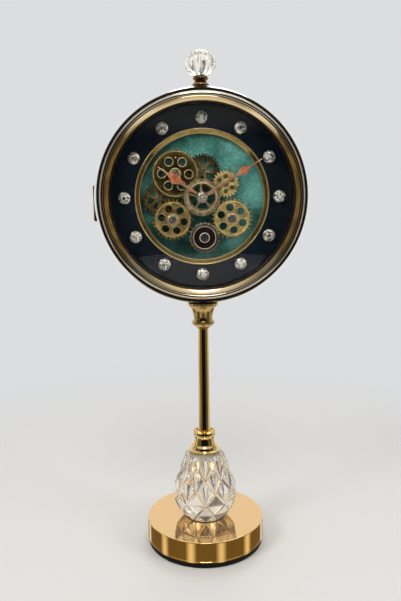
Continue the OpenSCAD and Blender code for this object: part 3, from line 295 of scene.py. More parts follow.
def dial_lacquer():
    """Teal metallic lacquer on the dial plate: cloudy, with fine sparkling flakes, and painted light that
    makes it lighter to the right and darker towards the bottom.
    """
    material, tree, shader = new_material("teal_flake_lacquer")
    where = add_node(tree, "ShaderNodeTexCoord").outputs["Object"]
    clouds = add_node(tree, "ShaderNodeTexNoise", {"Scale": 1 / (26 * MM), "Detail": 4.0},
                      {"Vector": where})
    split = add_node(tree, "ShaderNodeSeparateXYZ", links={0: where})
    reach = 60          # from the dial's centre to the rim of the plate
    # Painted light: lighter to the right and darker towards the bottom, added to the clouds
    painted_light_across = add_node(tree, "ShaderNodeMapRange", {
        "From Min": -reach * MM, "From Max": reach * MM, "To Min": -0.14, "To Max": 0.2},
        {"Value": split.outputs["X"]})
    painted_shade_below = add_node(tree, "ShaderNodeMapRange", {
        "From Min": (HEAD_Z - reach) * MM, "From Max": (HEAD_Z + 10) * MM,
        "To Min": -0.16, "To Max": 0.02}, {"Value": split.outputs["Z"]})
    painted_light_slope = add_node(tree, "ShaderNodeMath", {"operation": "ADD"},
                     {0: painted_shade_below.outputs[0], 1: painted_light_across.outputs[0]})
    mixed = add_node(tree, "ShaderNodeMath", {"operation": "ADD"},
                     {0: clouds.outputs["Fac"], 1: painted_light_slope.outputs[0]})
    tones = add_node(tree, "ShaderNodeValToRGB", links={"Fac": mixed.outputs[0]},
                     stops=[(0.28, "#1b4038"), (0.52, "#3b7469"), (0.8, "#70b4a8")])
    flakes = add_node(tree, "ShaderNodeTexVoronoi", {"Scale": 1 / (1.1 * MM)}, {"Vector": where})
    spark = add_node(tree, "ShaderNodeSeparateColor", links={0: flakes.outputs["Color"]})
    bright = add_node(tree, "ShaderNodeMapRange", {"To Min": 0.68, "To Max": 1.38},
                      {"Value": spark.outputs[0]})
    paint = add_node(tree, "ShaderNodeVectorMath", {"operation": "SCALE"},
                     {0: tones.outputs[0], "Scale": bright.outputs[0]})
    tree.links.new(paint.outputs[0], shader.inputs["Base Color"])
    bump = add_node(tree, "ShaderNodeBump", {"Distance": 0.03 * MM, "Strength": 0.5},
                    {"Height": spark.outputs[1]})
    tree.links.new(bump.outputs[0], shader.inputs["Normal"])
    shader.inputs["Metallic"].default_value = 0.35
    shader.inputs["Roughness"].default_value = 0.42
    return material


def clear_glass(name, index, tint, seeds, relief, clear=1.0):
    """Glass that lets the lamps through to what is behind it, clear by the given share."""
    material, tree, shader = new_material(name)
    where = add_node(tree, "ShaderNodeTexCoord").outputs["Object"]
    waves = add_node(tree, "ShaderNodeTexNoise", {"Scale": 1 / (seeds * MM), "Detail": 1.0},
                     {"Vector": where})
    bump = add_node(tree, "ShaderNodeBump", {"Distance": relief * MM, "Strength": 0.2},
                    {"Height": waves.outputs["Fac"]})
    tree.links.new(bump.outputs[0], shader.inputs["Normal"])
    shader.inputs["Base Color"].default_value = linear(tint)
    shader.inputs["Transmission Weight"].default_value = clear
    shader.inputs["Roughness"].default_value = 0.0
    shader.inputs["IOR"].default_value = index
    rays = add_node(tree, "ShaderNodeLightPath")
    open_air = add_node(tree, "ShaderNodeBsdfTransparent", {"Color": linear(tint)})
    mixed = add_node(tree, "ShaderNodeMixShader", links={
        0: rays.outputs["Is Shadow Ray"], 1: shader.outputs[0], 2: open_air.outputs[0]})
    tree.links.new(mixed.outputs[0], tree.nodes["Material Output"].inputs["Surface"])
    return material


# Polished gold plate on the drawn base: a near mirror with a faint drift of tone
polished_gold = patchy("polished_gold_plate", "#ecc67e", "#dcb068", 30, 1.0, (0.04, 0.08), 1.2, 0.002)
# Paler gold plate on the turned brass of the stand
stand_plate = patchy("pale_gold_plate", "#e4cb98", "#d6b981", 24, 1.0, (0.05, 0.1), 1.2, 0.002)
# Pale gilt rod, seen through the crystal
pale_gilt = patchy("bright_rod", "#f6f3ec", "#ebe4d6", 8, 0.6, (0.2, 0.3), 0.8, 0.01)
# The capital's cup: gold over a finely hammered surface, with light and dark flecks painted into its colour
# as reflections
hammered_gold_painted_flecks = patchy("hammered_gold_cup_painted_flecks", "#ecd094", "#503a18", 2.2, 1.0, (0.1, 0.2), 1.6, 0.12)
# Champagne gold on the spun bezel: paler and a little softer
champagne = patchy("champagne_gold_plate", "#e4d2b0", "#d6c19a", 30, 1.0, (0.07, 0.12), 1.0, 0.003)
# Outer bead of the bezel, where the plate is thin and looks silvery
bead_plate = patchy("thin_plate_on_bead", "#cfc8bd", "#bfb6a6", 26, 1.0, (0.09, 0.15), 1.0, 0.003)
# Satin gold of the dial's step ring
step_gold = patchy("stamped_gold_ring", "#d2b36a", "#44361a", 12, 0.95, (0.06, 0.14), 1.0, 0.004)
# Bright edge of the step ring, a painted highlight
step_painted_highlight = patchy("ring_edge_painted_highlight", "#efdca6", "#c0a468", 9, 0.6, (0.14, 0.24), 1.0, 0.004)
# Chrome on the drawn steel case
chrome = patchy("chrome_plate", "#d3d5d8", "#c2c5c9", 40, 1.0, (0.05, 0.09), 1.4, 0.002)
# Steel parts: zinc-plated, dull
zinc = patchy("zinc_plated_steel", "#b5b7ba", "#94979b", 6, 1.0, (0.28, 0.42), 0.8, 0.01)
# Black moulded plastic with a fine spark-eroded texture
moulded_black = patchy("moulded_black_plastic", "#1c1d20", "#121315", 12, 0.0, (0.42, 0.55), 0.7, 0.02)
# Black rubber of the gasket, satin and a little dusty
rubber = patchy("black_rubber", "#0a0a0b", "#121213", 8, 0.0, (0.5, 0.66), 0.5, 0.015,
                {"Specular IOR Level": 0.25})
# Cast iron weight, painted black
cast_iron = patchy("painted_cast_iron", "#202123", "#2b2a28", 5, 0.2, (0.5, 0.7), 1.4, 0.08)
# Deep navy lacquer, almost black, under a clear coat
navy = patchy("navy_lacquer", "#0b1520", "#070d15", 40, 0.0, (0.22, 0.3), 3.0, 0.0,
              {"Coat Weight": 1.0, "Coat Roughness": 0.05})
# Black plastic inside the head, matt so that the dial stands out
matt_black = patchy("matt_black_plastic", "#101114", "#0a0b0d", 10, 0.0, (0.5, 0.62), 0.6, 0.01)
# Coral copper lacquer on the blanks of the hands, nearly flat
coral = patchy("coral_copper_lacquer", "#d5805c", "#c36c4a", 5, 0.35, (0.36, 0.46), 0.6, 0.006)
# Pale rose gilt on the pipe of the hour hand and on the stem and nut of the movement
pale_rose = patchy("pale_rose_gilt", "#f6dcc0", "#e2bd9c", 4, 0.6, (0.14, 0.24), 0.6, 0.004)
# Bright plate on the ring nut in front of the hands
bright_nut = patchy("bright_plated_nut", "#f4eee2", "#cfc4b4", 4, 0.7, (0.12, 0.22), 0.6, 0.004)
# Nickel on pins and caps
nickel = patchy("nickel_plate", "#c4bdb4", "#8f8880", 5, 1.0, (0.18, 0.32), 0.6, 0.005)
# Dark gold as painted shade: in the bezel's groove, on its inner lip and in the ring groove of the hand nut
gold_painted_shade = patchy("shaded_gold_groove", "#3c3022", "#241c12", 5, 0.8, (0.3, 0.5), 0.6, 0.004)
# Grey nickel on the flat caps in front of the wheels
grey_nickel = patchy("grey_nickel_cap", "#a39a90", "#7d756c", 3, 0.9, (0.25, 0.4), 0.6, 0.006)
# Gold of the finial's neck, darkened as painted shade
neck_gold_painted_shade = patchy("shaded_gold_neck", "#a98a5c", "#5f4a2c", 5, 1.0, (0.08, 0.2), 0.8, 0.004)
# Silvery gilt rims of the driving wheel
silver_gilt = patchy("silver_gilt_rim", "#fbf3e6", "#d9cdb8", 4, 0.5, (0.14, 0.26), 0.6, 0.004)
# Rose plating on the centre wheel's rims
rose_rim = patchy("rose_gilt_rim", "#e6cfa8", "#bfa684", 5, 0.5, (0.16, 0.28), 0.6, 0.005)
# Bright brass of raised rims on the wheels
bright_brass = patchy("bright_brass_rim", "#f2dc9c", "#d2b26a", 6, 0.55, (0.12, 0.22), 0.6, 0.005)
# Aged brass of the hinge
aged_brass = patchy("aged_brass_leaf", "#a88f56", "#7c6637", 6, 1.0, (0.24, 0.4), 0.7, 0.01)
# Powder coat on the pressed steel door: matt with an orange-peel surface
powder_coat = patchy("black_powder_coat", "#232427", "#191a1c", 14, 0.0, (0.5, 0.6), 0.9, 0.05)
# Ivory moulded plastic of the knob and the switch
ivory = patchy("ivory_moulded_plastic", "#ddd9cd", "#cbc5b5", 5, 0.0, (0.34, 0.45), 0.6, 0.01)
# Painted steel jacket of the cells
cell_jacket = patchy("painted_cell_jacket", "#8b3d2a", "#7a3323", 8, 0.3, (0.3, 0.4), 0.6, 0.004)
# Silvered foil behind the stones: its white is the lit one of four painted tones
foil = patchy("silver_foil", "#ffffff", "#ece8dc", 1.5, 0.3, (0.12, 0.25), 0.5, 0.004)
# The same foil in painted shade, in deeper painted shade, and as a painted reflection of the warm gold
foil_painted_shade = patchy("silver_foil_painted_shade", "#a8a294", "#86806f", 1.5, 0.5, (0.15, 0.3), 0.5, 0.004)
foil_painted_deep_shade = patchy("silver_foil_painted_deep_shade", "#454036", "#27241f", 1.5, 0.5, (0.15, 0.3), 0.5, 0.004)
foil_painted_gold_reflection = patchy("silver_foil_painted_gold_reflection", "#d9cba6", "#bfae84", 1.5, 0.5, (0.15, 0.3), 0.5, 0.004)
# Dark antique silver of the stones' cups
antique_silver = patchy("antique_silver_cup", "#8e8a82", "#4c4a46", 1.5, 1.0, (0.2, 0.35), 0.4, 0.006)
# Axes of the wheels, from the dial's centre
BIG_AT, LEFT_AT, RIGHT_AT = (-25.943, 22.969), (-29.059, -21.503), (29.357, -21.095)
DRIVE_AT, UPPER_AT, CENTRE_AT = (2.112, -39.472), (23.441, 12.887), (0, 0)
PETAL_AT, SIDE_AT = (1.202, 25.726), (-43.337, -0.805)
# Wheels: gold and bronze plating over stamped brass; the bands paint dark dishes as reflected shade and
# bright rims as highlights
big_finish = banded("olive_gold_wheel", BIG_AT, [
    (0, "#7a7250"), (4.7, "#8d8050"), (6.2, "#2c2511"), (12, "#342b13"), (18, "#423717"),
    (20.5, "#6c5c2a"), (22.7, "#4b3f1e"), (24.5, "#5a4c26")], 0.55, (0.3, 0.45), 0.7, 0.01)
left_finish = banded("gold_wheel_left", LEFT_AT, [
    (0, "#8d8066"), (4.9, "#b3a06c"), (7.8, "#867042"), (13.7, "#9a8048"), (17.2, "#b89c5c"),
    (18.2, "#7a6430"), (20.5, "#8d763e")], 0.55, (0.28, 0.42), 0.7, 0.01)
right_finish = banded("gold_wheel_right", RIGHT_AT, [
    (0, "#a3987a"), (4.9, "#d2c08c"), (7.8, "#b09a64"), (13.7, "#c2aa6e"), (17.2, "#dcc68a"),
    (18.2, "#978050"), (20.5, "#b29c64")], 0.55, (0.28, 0.42), 0.7, 0.01)
drive_finish = banded("dark_bronze_wheel", DRIVE_AT, [
    (0, "#14100c"), (4.0, "#1c1410"), (6.0, "#1e150e"), (10.0, "#2a1c12"), (11.4, "#6b5640"),
    (12.6, "#5a4632"), (15.2, "#75604a")], 0.55, (0.3, 0.45), 0.6, 0.01)
upper_finish = banded("pale_gold_wheel", UPPER_AT, [
    (0, "#cdb377"), (4, "#e0c988"), (9, "#d9be79"), (12, "#e6ce8c"), (14.4, "#b5964f")],
    0.55, (0.3, 0.44), 0.6, 0.01)
centre_finish = banded("rose_gold_wheel", CENTRE_AT, [
    (0, "#ead2ae"), (5.1, "#d2bc94"), (6.8, "#aa966e"), (12.7, "#a8946e"), (14.3, "#c2ad84"),
    (16.2, "#9c8a66"), (18.6, "#a28e66")], 0.55, (0.3, 0.44), 0.6, 0.01)
petal_finish = banded("bronze_wheel_upper", PETAL_AT, [
    (0, "#97895a"), (3.4, "#8f814c"), (8, "#75683a"), (11.5, "#43341a"), (17.4, "#2c1e0e")],
    0.5, (0.35, 0.5), 0.6, 0.01)
side_finish = banded("copper_brown_wheel", SIDE_AT, [
    (0, "#8a7a48"), (5, "#74622f"), (9.5, "#664c26"), (13, "#5c4a24"), (16.2, "#4f421e")],
    0.5, (0.32, 0.48), 0.6, 0.01)
# Coral lacquer on the hands: thin and brownish on the stem, full on the leaf, pale at the tip
HAND_STEM, HAND_LEAF, HAND_TIP = "#a88060", "#c87850", "#e0b890"
minute_finish = banded("coral_lacquer_minute", CENTRE_AT, [
    (0, HAND_STEM), (42, HAND_STEM), (46, HAND_LEAF), (52, HAND_LEAF), (70, HAND_TIP)],
    0.3, (0.34, 0.44), 0.6, 0.006)
hour_finish = banded("coral_lacquer_hour", CENTRE_AT, [
    (0, HAND_STEM), (24, HAND_STEM), (28, HAND_LEAF), (36, HAND_LEAF), (52, HAND_TIP)],
    0.3, (0.34, 0.44), 0.6, 0.006)
spun_top = spun_gold()
teal = dial_lacquer()
# Pressed lead glass of the egg and the ball, with the faint milk of moulded glass
crystal = clear_glass("pressed_crystal", 1.52, "#f6f4ef", 9, 0.02, 0.9)
# The same glass in three painted tones for the facets: a white glint, a cream reflection and shade
crystal_painted_glint = clear_glass("pressed_crystal_painted_glint", 1.52, "#ffffff", 9, 0.02, 0.55)
crystal_painted_cream_reflection = clear_glass("pressed_crystal_painted_cream_reflection", 1.52, "#f0dfba", 9, 0.02, 0.7)
crystal_painted_shade = clear_glass("pressed_crystal_painted_shade", 1.52, "#787379", 9, 0.02, 0.72)
# Its two flat ends, ground white where the metal sits on them
ground_glass = patchy("ground_crystal_end", "#f2f1ee", "#e2e0da", 6, 0.0, (0.55, 0.7), 0.8, 0.02)
# Thin domed glass, ground flat at its edge
dome_glass = clear_glass("domed_float_glass", 1.37, "#fdfefe", 40, 0.0)


def pale_floor():
    """Matt pale board that fades into the room's own tone, so no edge or horizon shows."""
    material, tree, shader = new_material("pale_board")
    where = add_node(tree, "ShaderNodeTexCoord").outputs["Object"]
    specks = add_node(tree, "ShaderNodeTexNoise", {"Scale": 1 / (3 * MM), "Detail": 2.0},
                      {"Vector": where})
    tone = add_node(tree, "ShaderNodeMix", {
        "data_type": "RGBA", 6: linear("#dad8d5"), 7: linear("#d6d4d0")},
        {0: specks.outputs["Fac"]})
    tree.links.new(tone.outputs[2], shader.inputs["Base Color"])
    shader.inputs["Roughness"].default_value = 0.6
    shader.inputs["Specular IOR Level"].default_value = 0.2
    away = add_node(tree, "ShaderNodeVectorMath", {"operation": "LENGTH"}, {0: where})
    fade = add_node(tree, "ShaderNodeMapRange", {
        "interpolation_type": "SMOOTHSTEP", "From Min": 0.16, "From Max": 0.8},
        {"Value": away.outputs["Value"]})
    rays = add_node(tree, "ShaderNodeLightPath")
    shown = add_node(tree, "ShaderNodeMath", {"operation": "MULTIPLY"},
                     {0: rays.outputs["Is Camera Ray"], 1: fade.outputs[0]})
    glow = add_node(tree, "ShaderNodeEmission", {"Color": linear("#dcdddf"), "Strength": 1.0})
    mixed = add_node(tree, "ShaderNodeMixShader", links={
        0: shown.outputs[0], 1: shader.outputs[0], 2: glow.outputs[0]})
    tree.links.new(mixed.outputs[0], tree.nodes["Material Output"].inputs["Surface"])
    return material


def make_floor():
    deselect()
    bpy.ops.mesh.primitive_circle_add(vertices=96, radius=0.8, fill_type="NGON", location=(0, 0, 0))
    board = bpy.context.object
    board.name = "floor_board"
    board.data.materials.append(pale_floor())
    board.visible_glossy = False    # mirrors see the floor of the studio instead


# Ways of making

def deselect():
    if bpy.context.object and bpy.context.object.mode != "OBJECT":
        bpy.ops.object.mode_set(mode="OBJECT")
    bpy.ops.object.select_all(action="DESELECT")


def pick(piece):
    deselect()
    piece.select_set(True)
    bpy.context.view_layer.objects.active = piece


def edit(kind="VERT"):
    bpy.ops.object.mode_set(mode="EDIT")
    bpy.ops.mesh.select_mode(type=kind)


def close_edit():
    bpy.ops.object.mode_set(mode="OBJECT")


def join(pieces):
    deselect()
    for piece in pieces:
        piece.select_set(True)
    bpy.context.view_layer.objects.active = pieces[0]
    bpy.ops.object.join()
    return bpy.context.object


def copy_of(piece):
    pick(piece)
    bpy.ops.object.duplicate()
    return bpy.context.object


def apply_modifier(piece, kind, settings):
    pick(piece)
    made = piece.modifiers.new(kind.lower(), kind)
    for key, value in settings.items():
        setattr(made, key, value)
    bpy.ops.object.modifier_apply(modifier=made.name)


def soften(piece, angle):
    """Smooth shading that leaves edges sharper than the angle as they are."""
    pick(piece)
    bpy.ops.object.shade_smooth_by_angle(angle=math.radians(angle))


def smooth(piece, angle=30):
    """The same, with flat faces kept flat beside narrow rounded edges."""
    soften(piece, angle)
    apply_modifier(piece, "WEIGHTED_NORMAL", {"keep_sharp": True})


def lay(piece, *materials):
    """Gives a piece these materials in place of its own."""
    piece.data.materials.clear()
    for material in materials:
        piece.data.materials.append(material)


def finish_piece(piece, name, body, materials, stands_for=()):
    piece.name = piece.data.name = name
    lay(piece, *materials)
    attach(piece, body)
    if stands_for:
        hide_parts(*stands_for)
    return piece


def to_head(piece, x=0.0, y=0.0, s=0.0, turn=0.0):
    """Stands a piece made lying on the floor up in the head: its +Z then faces the viewer."""
    pick(piece)
    piece.rotation_euler = (math.radians(90), math.radians(turn), 0)
    piece.rotation_mode = "XYZ"
    piece.location = (x * MM, -s * MM, (HEAD_Z + y) * MM)
    bpy.ops.object.transform_apply(location=True, rotation=True, scale=True)


def arc(cr, ch, radius, start, end, steps):
    """Points of an arc in a turned outline, angles in degrees from the outward direction."""
    return [(cr + radius * math.cos(math.radians(start + (end - start) * i / steps)),
             ch + radius * math.sin(math.radians(start + (end - start) * i / steps)))
            for i in range(steps + 1)]


def turned(outline, steps):
    """Outline of (radius, height) points in mm, drawn by extruding a corner, spun round Z."""
    deselect()
    r, h = outline[0]
    bpy.ops.mesh.primitive_plane_add(size=MM, location=(r * MM, 0, h * MM))
    piece = bpy.context.object
    edit()
    bpy.ops.mesh.merge(type="CENTER")
    for (r0, h0), (r1, h1) in zip(outline, outline[1:]):
        bpy.ops.mesh.extrude_region_move(
            TRANSFORM_OT_translate={"value": ((r1 - r0) * MM, 0, (h1 - h0) * MM)})
    bpy.ops.mesh.select_all(action="SELECT")
    bpy.ops.mesh.spin(steps=steps, angle=FULL_TURN, center=(0, 0, 0), axis=(0, 0, 1))
    bpy.ops.mesh.select_all(action="SELECT")
    bpy.ops.mesh.remove_doubles(threshold=1e-6)
    bpy.ops.mesh.normals_make_consistent(inside=False)
    close_edit()
    bpy.ops.object.transform_apply(location=True, rotation=True, scale=True)
    return piece


def turned_piece(outline, steps, name, body, materials, stands_for=(), at=None, angle=30):
    """Turned and finished piece of the stand, or of the head where its place there is given."""
    piece = turned(outline, steps)
    if at:
        to_head(piece, *at)
    smooth(piece, angle)
    return finish_piece(piece, name, body, materials, stands_for)


def pick_where(piece, kind, test):
    """Selects, in edit mode, the corners, edges or faces that pass a test."""
    mesh = bmesh.from_edit_mesh(piece.data)
    for part in {"VERT": mesh.verts, "EDGE": mesh.edges, "FACE": mesh.faces}[kind]:
        part.select_set(bool(test(part)))
    mesh.select_flush_mode()
    bmesh.update_edit_mesh(piece.data)


def pick_faces(piece, test):
    """Selects, in edit mode, the faces whose middle and normal pass a test."""
    pick_where(piece, "FACE", lambda face: test(face.calc_center_median(), face.normal))


def off_axis(middle):
    """Distance of a face's middle from the axis of the head."""
    return math.hypot(middle.x, middle.z - HEAD_Z * MM)


def paint_faces(piece, index, test):
    """Gives the faces that pass a test another of the piece's materials."""
    pick(piece)
    edit("FACE")
    bpy.ops.mesh.select_all(action="DESELECT")
    pick_faces(piece, test)
    piece.active_material_index = index
    bpy.ops.object.material_slot_assign()
    close_edit()


def dressed(node, name, material, edge=0.12, bright=None):
    """A merged copy of a solid with its sharp edges broken, which then stands for the solid.
    The broken edges may have a brighter finish, painted on as a highlight."""
    piece = copy_of(NODE[node])
    body = NODE[node]["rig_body"]
    piece.parent = None
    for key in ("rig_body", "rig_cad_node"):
        if key in piece:
            del piece[key]
    edit()
    bpy.ops.mesh.select_all(action="SELECT")
    bpy.ops.mesh.remove_doubles(threshold=2e-6)
    bpy.ops.mesh.dissolve_limited(angle_limit=math.radians(0.5))
    close_edit()
    finishes = [material, bright] if bright else [material]
    lay(piece, *finishes)
    apply_modifier(piece, "BEVEL", {"width": edge * MM, "segments": 1, "limit_method": "ANGLE",
                                    "angle_limit": math.radians(40), "material": 1 if bright else -1})
    smooth(piece)
    piece.name = piece.data.name = name
    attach(piece, body)
    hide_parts(node)
    return piece


def draw_tone(face, shares, seed):
    """Material index of a facet, drawn by its place, because Blender may number the faces of a
    mesh otherwise in each run."""
    cell_size, shift = 0.4 * MM, 0.06
    cell = [math.floor(along / cell_size + shift) for along in face.center]
    return random.Random("%d %s" % (seed, cell)).choices(range(len(shares)), shares)[0]


# Stand

def make_base():
    """Spun shell: satin top with a polished, rounded shoulder and a polished skirt."""
    edge = 0.9
    outline = [(3.3, 26.8), (61.0, 26.8), (61.0, 6.0), (62.2, 6.0), (62.2, 7.2), (62.0, 7.4),
               (62.0, 7.7), (62.2, 7.9)]
    outline += arc(62.2 - edge, 28 - edge, edge, 0, 90, 8)
    outline += [(3.3, 28.0), (3.3, 26.8)]
    base = turned_piece(outline, 256, "spun_base_shell", "clock", [polished_gold, spun_top],
                        ["base_shell"])
    paint_faces(base, 1, lambda c, n: n.z > 0.95)
    pad = [(0, 0), (60.6, 0), (61.5, 0.9), (61.5, 2.8), (61.1, 3.0), (61.1, 3.4), (61.5, 3.6),
           (61.5, 5.4), (61.0, 6.0), (0, 6.0)]
    turned_piece(pad, 192, "foot_pad_ring", "clock", [rubber], ["base_pad"])


def make_collar():
    """Turned collar on the egg: foot ring, bead, dome, waist and the cup round the column."""
    z = 100
    outline = [(3.3, z - 0.6), (14.7, z - 0.6), (15.2, z - 0.2), (15.2, z + 0.6), (15.6, z + 0.9)]
    outline += arc(15.5, z + 2.3, 1.4, -60, 90, 8)
    outline += [(15.1, z + 3.9), (14.7, z + 4.4), (14.7, z + 5.2), (14.4, z + 6.5), (13.8, z + 7.6),
                (12.9, z + 8.5), (12.3, z + 9.2), (11.8, z + 10.4), (11.3, z + 12.2), (10.9, z + 14.2),
                (10.7, z + 15.8), (10.8, z + 17.2), (11.5, z + 19.0)]
    outline += arc(11.5, z + 20.6, 0.8, -40, 20, 4)
    outline += [(12.25, z + 22.2), (12.0, z + 22.8), (11.6, z + 23), (11.2, z + 22.8)]
    outline += [(10.4, z + 21.2), (8.4, z + 19.6), (6.8, z + 19.0), (3.3, z + 19.0), (3.3, z - 0.6)]
    turned_piece(outline, 192, "turned_collar", "clock", [stand_plate], ["lower_collar"])


def make_column():
    """Slightly tapering tube round the clamping rod."""
    outline = [(3.3, 119), (6.6, 119), (6.57, 122), (5.52, 238), (3.3, 238), (3.3, 119)]
    turned_piece(outline, 192, "column_tube_plated", "clock", [stand_plate], ["column_tube"])


def make_capital():
    """Turned capital: small step ring, bead, neck and a flared cup with a rolled brim."""
    z = 235
    outline = [(3.3, z + 3), (5.65, z + 3), (5.65, z + 0.2), (6.6, z), (7.3, z + 0.4), (7.3, z + 1.8),
               (8.6, z + 2.2), (9.4, z + 2.8), (10.2, z + 3.4)]
    outline += arc(9.9, z + 6.2, 2.2, -70, 70, 10)
    outline += [(10.4, z + 8.7), (10.0, z + 9.2), (9.9, z + 10.4), (10.2, z + 12.6), (10.7, z + 15.4),
                (11.3, z + 18.2), (12.1, z + 20.6), (13.4, z + 22.6), (14.9, z + 24.2)]
    outline += arc(15.0, z + 25.6, 1.4, -60, 90, 8)
    outline += [(14.9, z + 27), (14.9, z + 25.5), (3.3, z + 25.5), (3.3, z + 3)]
    capital = turned_piece(outline, 192, "turned_capital", "clock", [stand_plate, hammered_gold_painted_flecks],
                           ["upper_capital"])
    # Painted reflections: the cup's faces get the gold with light and dark flecks
    paint_faces(capital, 1, lambda c, n: (z + 3.4) * MM < c.z < (z + 25.6) * MM)


def egg_radius(share):
    """Radius of the egg at a share of its height, between the cut rings."""
    widest = 34.5
    rings = [(0, 0.62), (0.07, 0.76), (0.18, 0.91), (0.33, 1), (0.48, 0.955), (0.64, 0.85),
             (0.81, 0.71), (1, 0.545)]
    for (s0, r0), (s1, r1) in zip(rings, rings[1:]):
        if share <= s1:
            return widest * (r0 + (r1 - r0) * (share - s0) / (s1 - s0))
    return widest * rings[-1][1]


def cut_body(radii, levels, facets):
    """Rings of corners, each turned half a facet from the one below, joined by lozenges."""
    deselect()
    bpy.ops.mesh.primitive_circle_add(vertices=facets, radius=radii[0] * MM, fill_type="NGON",
                                      location=(0, 0, levels[0] * MM))
    body = bpy.context.object
    edit("FACE")
    bpy.ops.mesh.select_all(action="SELECT")
    for i in range(1, len(levels)):
        bpy.ops.mesh.extrude_region_move(
            TRANSFORM_OT_translate={"value": (0, 0, (levels[i] - levels[i - 1]) * MM)})
        scale = radii[i] / radii[i - 1]
        bpy.ops.transform.resize(value=(scale, scale, 1), center_override=(0, 0, levels[i] * MM))
        bpy.ops.transform.rotate(value=math.pi / facets, orient_axis="Z",
                                 center_override=(0, 0, levels[i] * MM))
    bpy.ops.mesh.select_all(action="SELECT")
    bpy.ops.mesh.normals_make_consistent(inside=False)
    bpy.ops.mesh.select_all(action="DESELECT")
    pick_faces(body, lambda c, n: abs(n.z) < 0.99)
    bpy.ops.mesh.quads_convert_to_tris(quad_method="SHORTEST_DIAGONAL")
    close_edit()
    return body


def make_egg():
    """Pressed crystal egg: raised lozenges between V grooves, each cut as a fan of flutes."""
    facets, rows = 10, 6
    foot, height = 29, 70
    groove_share = 0.985    # radius of the grooves as a share of the egg's
    levels = [foot + height * i / rows for i in range(rows + 1)]
    egg = cut_body([egg_radius(i / rows) * groove_share for i in range(rows + 1)], levels, facets)
    row_h = height * MM / rows

    def level_inside(edge):
        low, high = sorted(vert.co.z for vert in edge.verts)
        return high - low < 0.2 * row_h and (foot + 1) * MM < low < (foot + height - 1) * MM

    def in_a_flute(vert):
        share = ((vert.co.z - foot * MM) / row_h) % 1
        return 0.13 < share < 0.21 or 0.37 < share < 0.51 or 0.66 < share < 0.8

    pick(egg)
    edit("EDGE")
    pick_where(egg, "EDGE", level_inside)
    bpy.ops.mesh.dissolve_edges(use_verts=False, use_face_split=False)
    bpy.ops.mesh.select_mode(type="FACE")
    bpy.ops.mesh.select_all(action="DESELECT")
    pick_faces(egg, lambda c, n: abs(n.z) < 0.95)
    bpy.ops.mesh.inset(thickness=1.0 * MM, depth=1.3 * MM, use_individual=True)
    # Flutes fan out from the foot of each lozenge to its two upper sides
    mesh = bmesh.from_edit_mesh(egg.data)
    panels = [face for face in mesh.faces if face.select and len(face.verts) == 4]
    bpy.ops.mesh.select_mode(type="EDGE")
    bpy.ops.mesh.select_all(action="DESELECT")
    mesh = bmesh.from_edit_mesh(egg.data)
    for face in panels:
        tip = max(face.verts, key=lambda vert: vert.co.z)
        for edge in face.edges:
            if tip in edge.verts:
                edge.select_set(True)
    bmesh.update_edit_mesh(egg.data)
    bpy.ops.mesh.subdivide(number_cuts=5, quadcorner="FAN")
    bpy.ops.mesh.select_mode(type="VERT")
    bpy.ops.mesh.select_all(action="DESELECT")
    pick_where(egg, "VERT", in_a_flute)
    bpy.ops.transform.resize(value=(0.976, 0.976, 1), center_override=(0, 0, 0))
    bpy.ops.mesh.select_all(action="SELECT")
    bpy.ops.mesh.quads_convert_to_tris(quad_method="SHORTEST_DIAGONAL")
    bpy.ops.mesh.normals_make_consistent(inside=False)
    close_edit()
    bpy.ops.object.transform_apply(location=True, rotation=True, scale=True)
    pick(egg)
    bpy.ops.object.shade_flat()
    finish_piece(egg, "cut_crystal_egg", "clock",
                 [crystal, crystal_painted_glint, crystal_painted_cream_reflection, crystal_painted_shade, ground_glass],
                 ["crystal_egg"])
    # Painted light: the egg's facets get clear glass, a white glint, a cream reflection and shade tones at
    # random
    for face in egg.data.polygons:
        flat_end = abs(face.normal.z) > 0.95
        face.material_index = 4 if flat_end else draw_tone(face, (7, 5, 5, 5), 9)


# Head, with the crystal ball on top

def make_finial():
    """Lobed crystal ball on a turned neck."""
    z, radius, height = 485.5, 15.9, 24.5
    flute_depth = 0.11
    rings = [(0, 0.5), (0.07, 0.64), (0.14, 0.76), (0.22, 0.86), (0.32, 0.95), (0.4, 0.985), (0.47, 1),
             (0.56, 0.985), (0.64, 0.93), (0.73, 0.83), (0.82, 0.7), (0.89, 0.55), (0.94, 0.42),
             (0.98, 0.3), (1, 0.2)]
    lobes, per_lobe = 13, 8
    deselect()
    bpy.ops.mesh.primitive_circle_add(vertices=lobes * per_lobe, radius=radius * rings[0][1] * MM,
                                      fill_type="NGON", location=(0, 0, z * MM))
    ball = bpy.context.object
    edit("FACE")
    bpy.ops.mesh.select_all(action="SELECT")
    for (s0, r0), (s1, r1) in zip(rings, rings[1:]):
        bpy.ops.mesh.extrude_region_move(
            TRANSFORM_OT_translate={"value": (0, 0, (s1 - s0) * height * MM)})
        bpy.ops.transform.resize(value=(r1 / r0, r1 / r0, 1),
                                 center_override=(0, 0, (z + s1 * height) * MM))
    # Every lobe swells between two flutes
    mesh = bmesh.from_edit_mesh(ball.data)
    for vert in mesh.verts:
        angle = math.atan2(vert.co.y, vert.co.x)
        swell = abs(math.cos(angle * lobes / 2))
        keep = 1 - flute_depth * (1 - swell)
        vert.co.x *= keep
        vert.co.y *= keep
    bmesh.update_edit_mesh(ball.data)
    bpy.ops.mesh.select_all(action="SELECT")
    bpy.ops.mesh.normals_make_consistent(inside=False)
    close_edit()
    bpy.ops.object.transform_apply(location=True, rotation=True, scale=True)
    smooth(ball, 24)
    finish_piece(ball, "lobed_crystal_ball", "clock", [crystal], ["finial_crystal"])


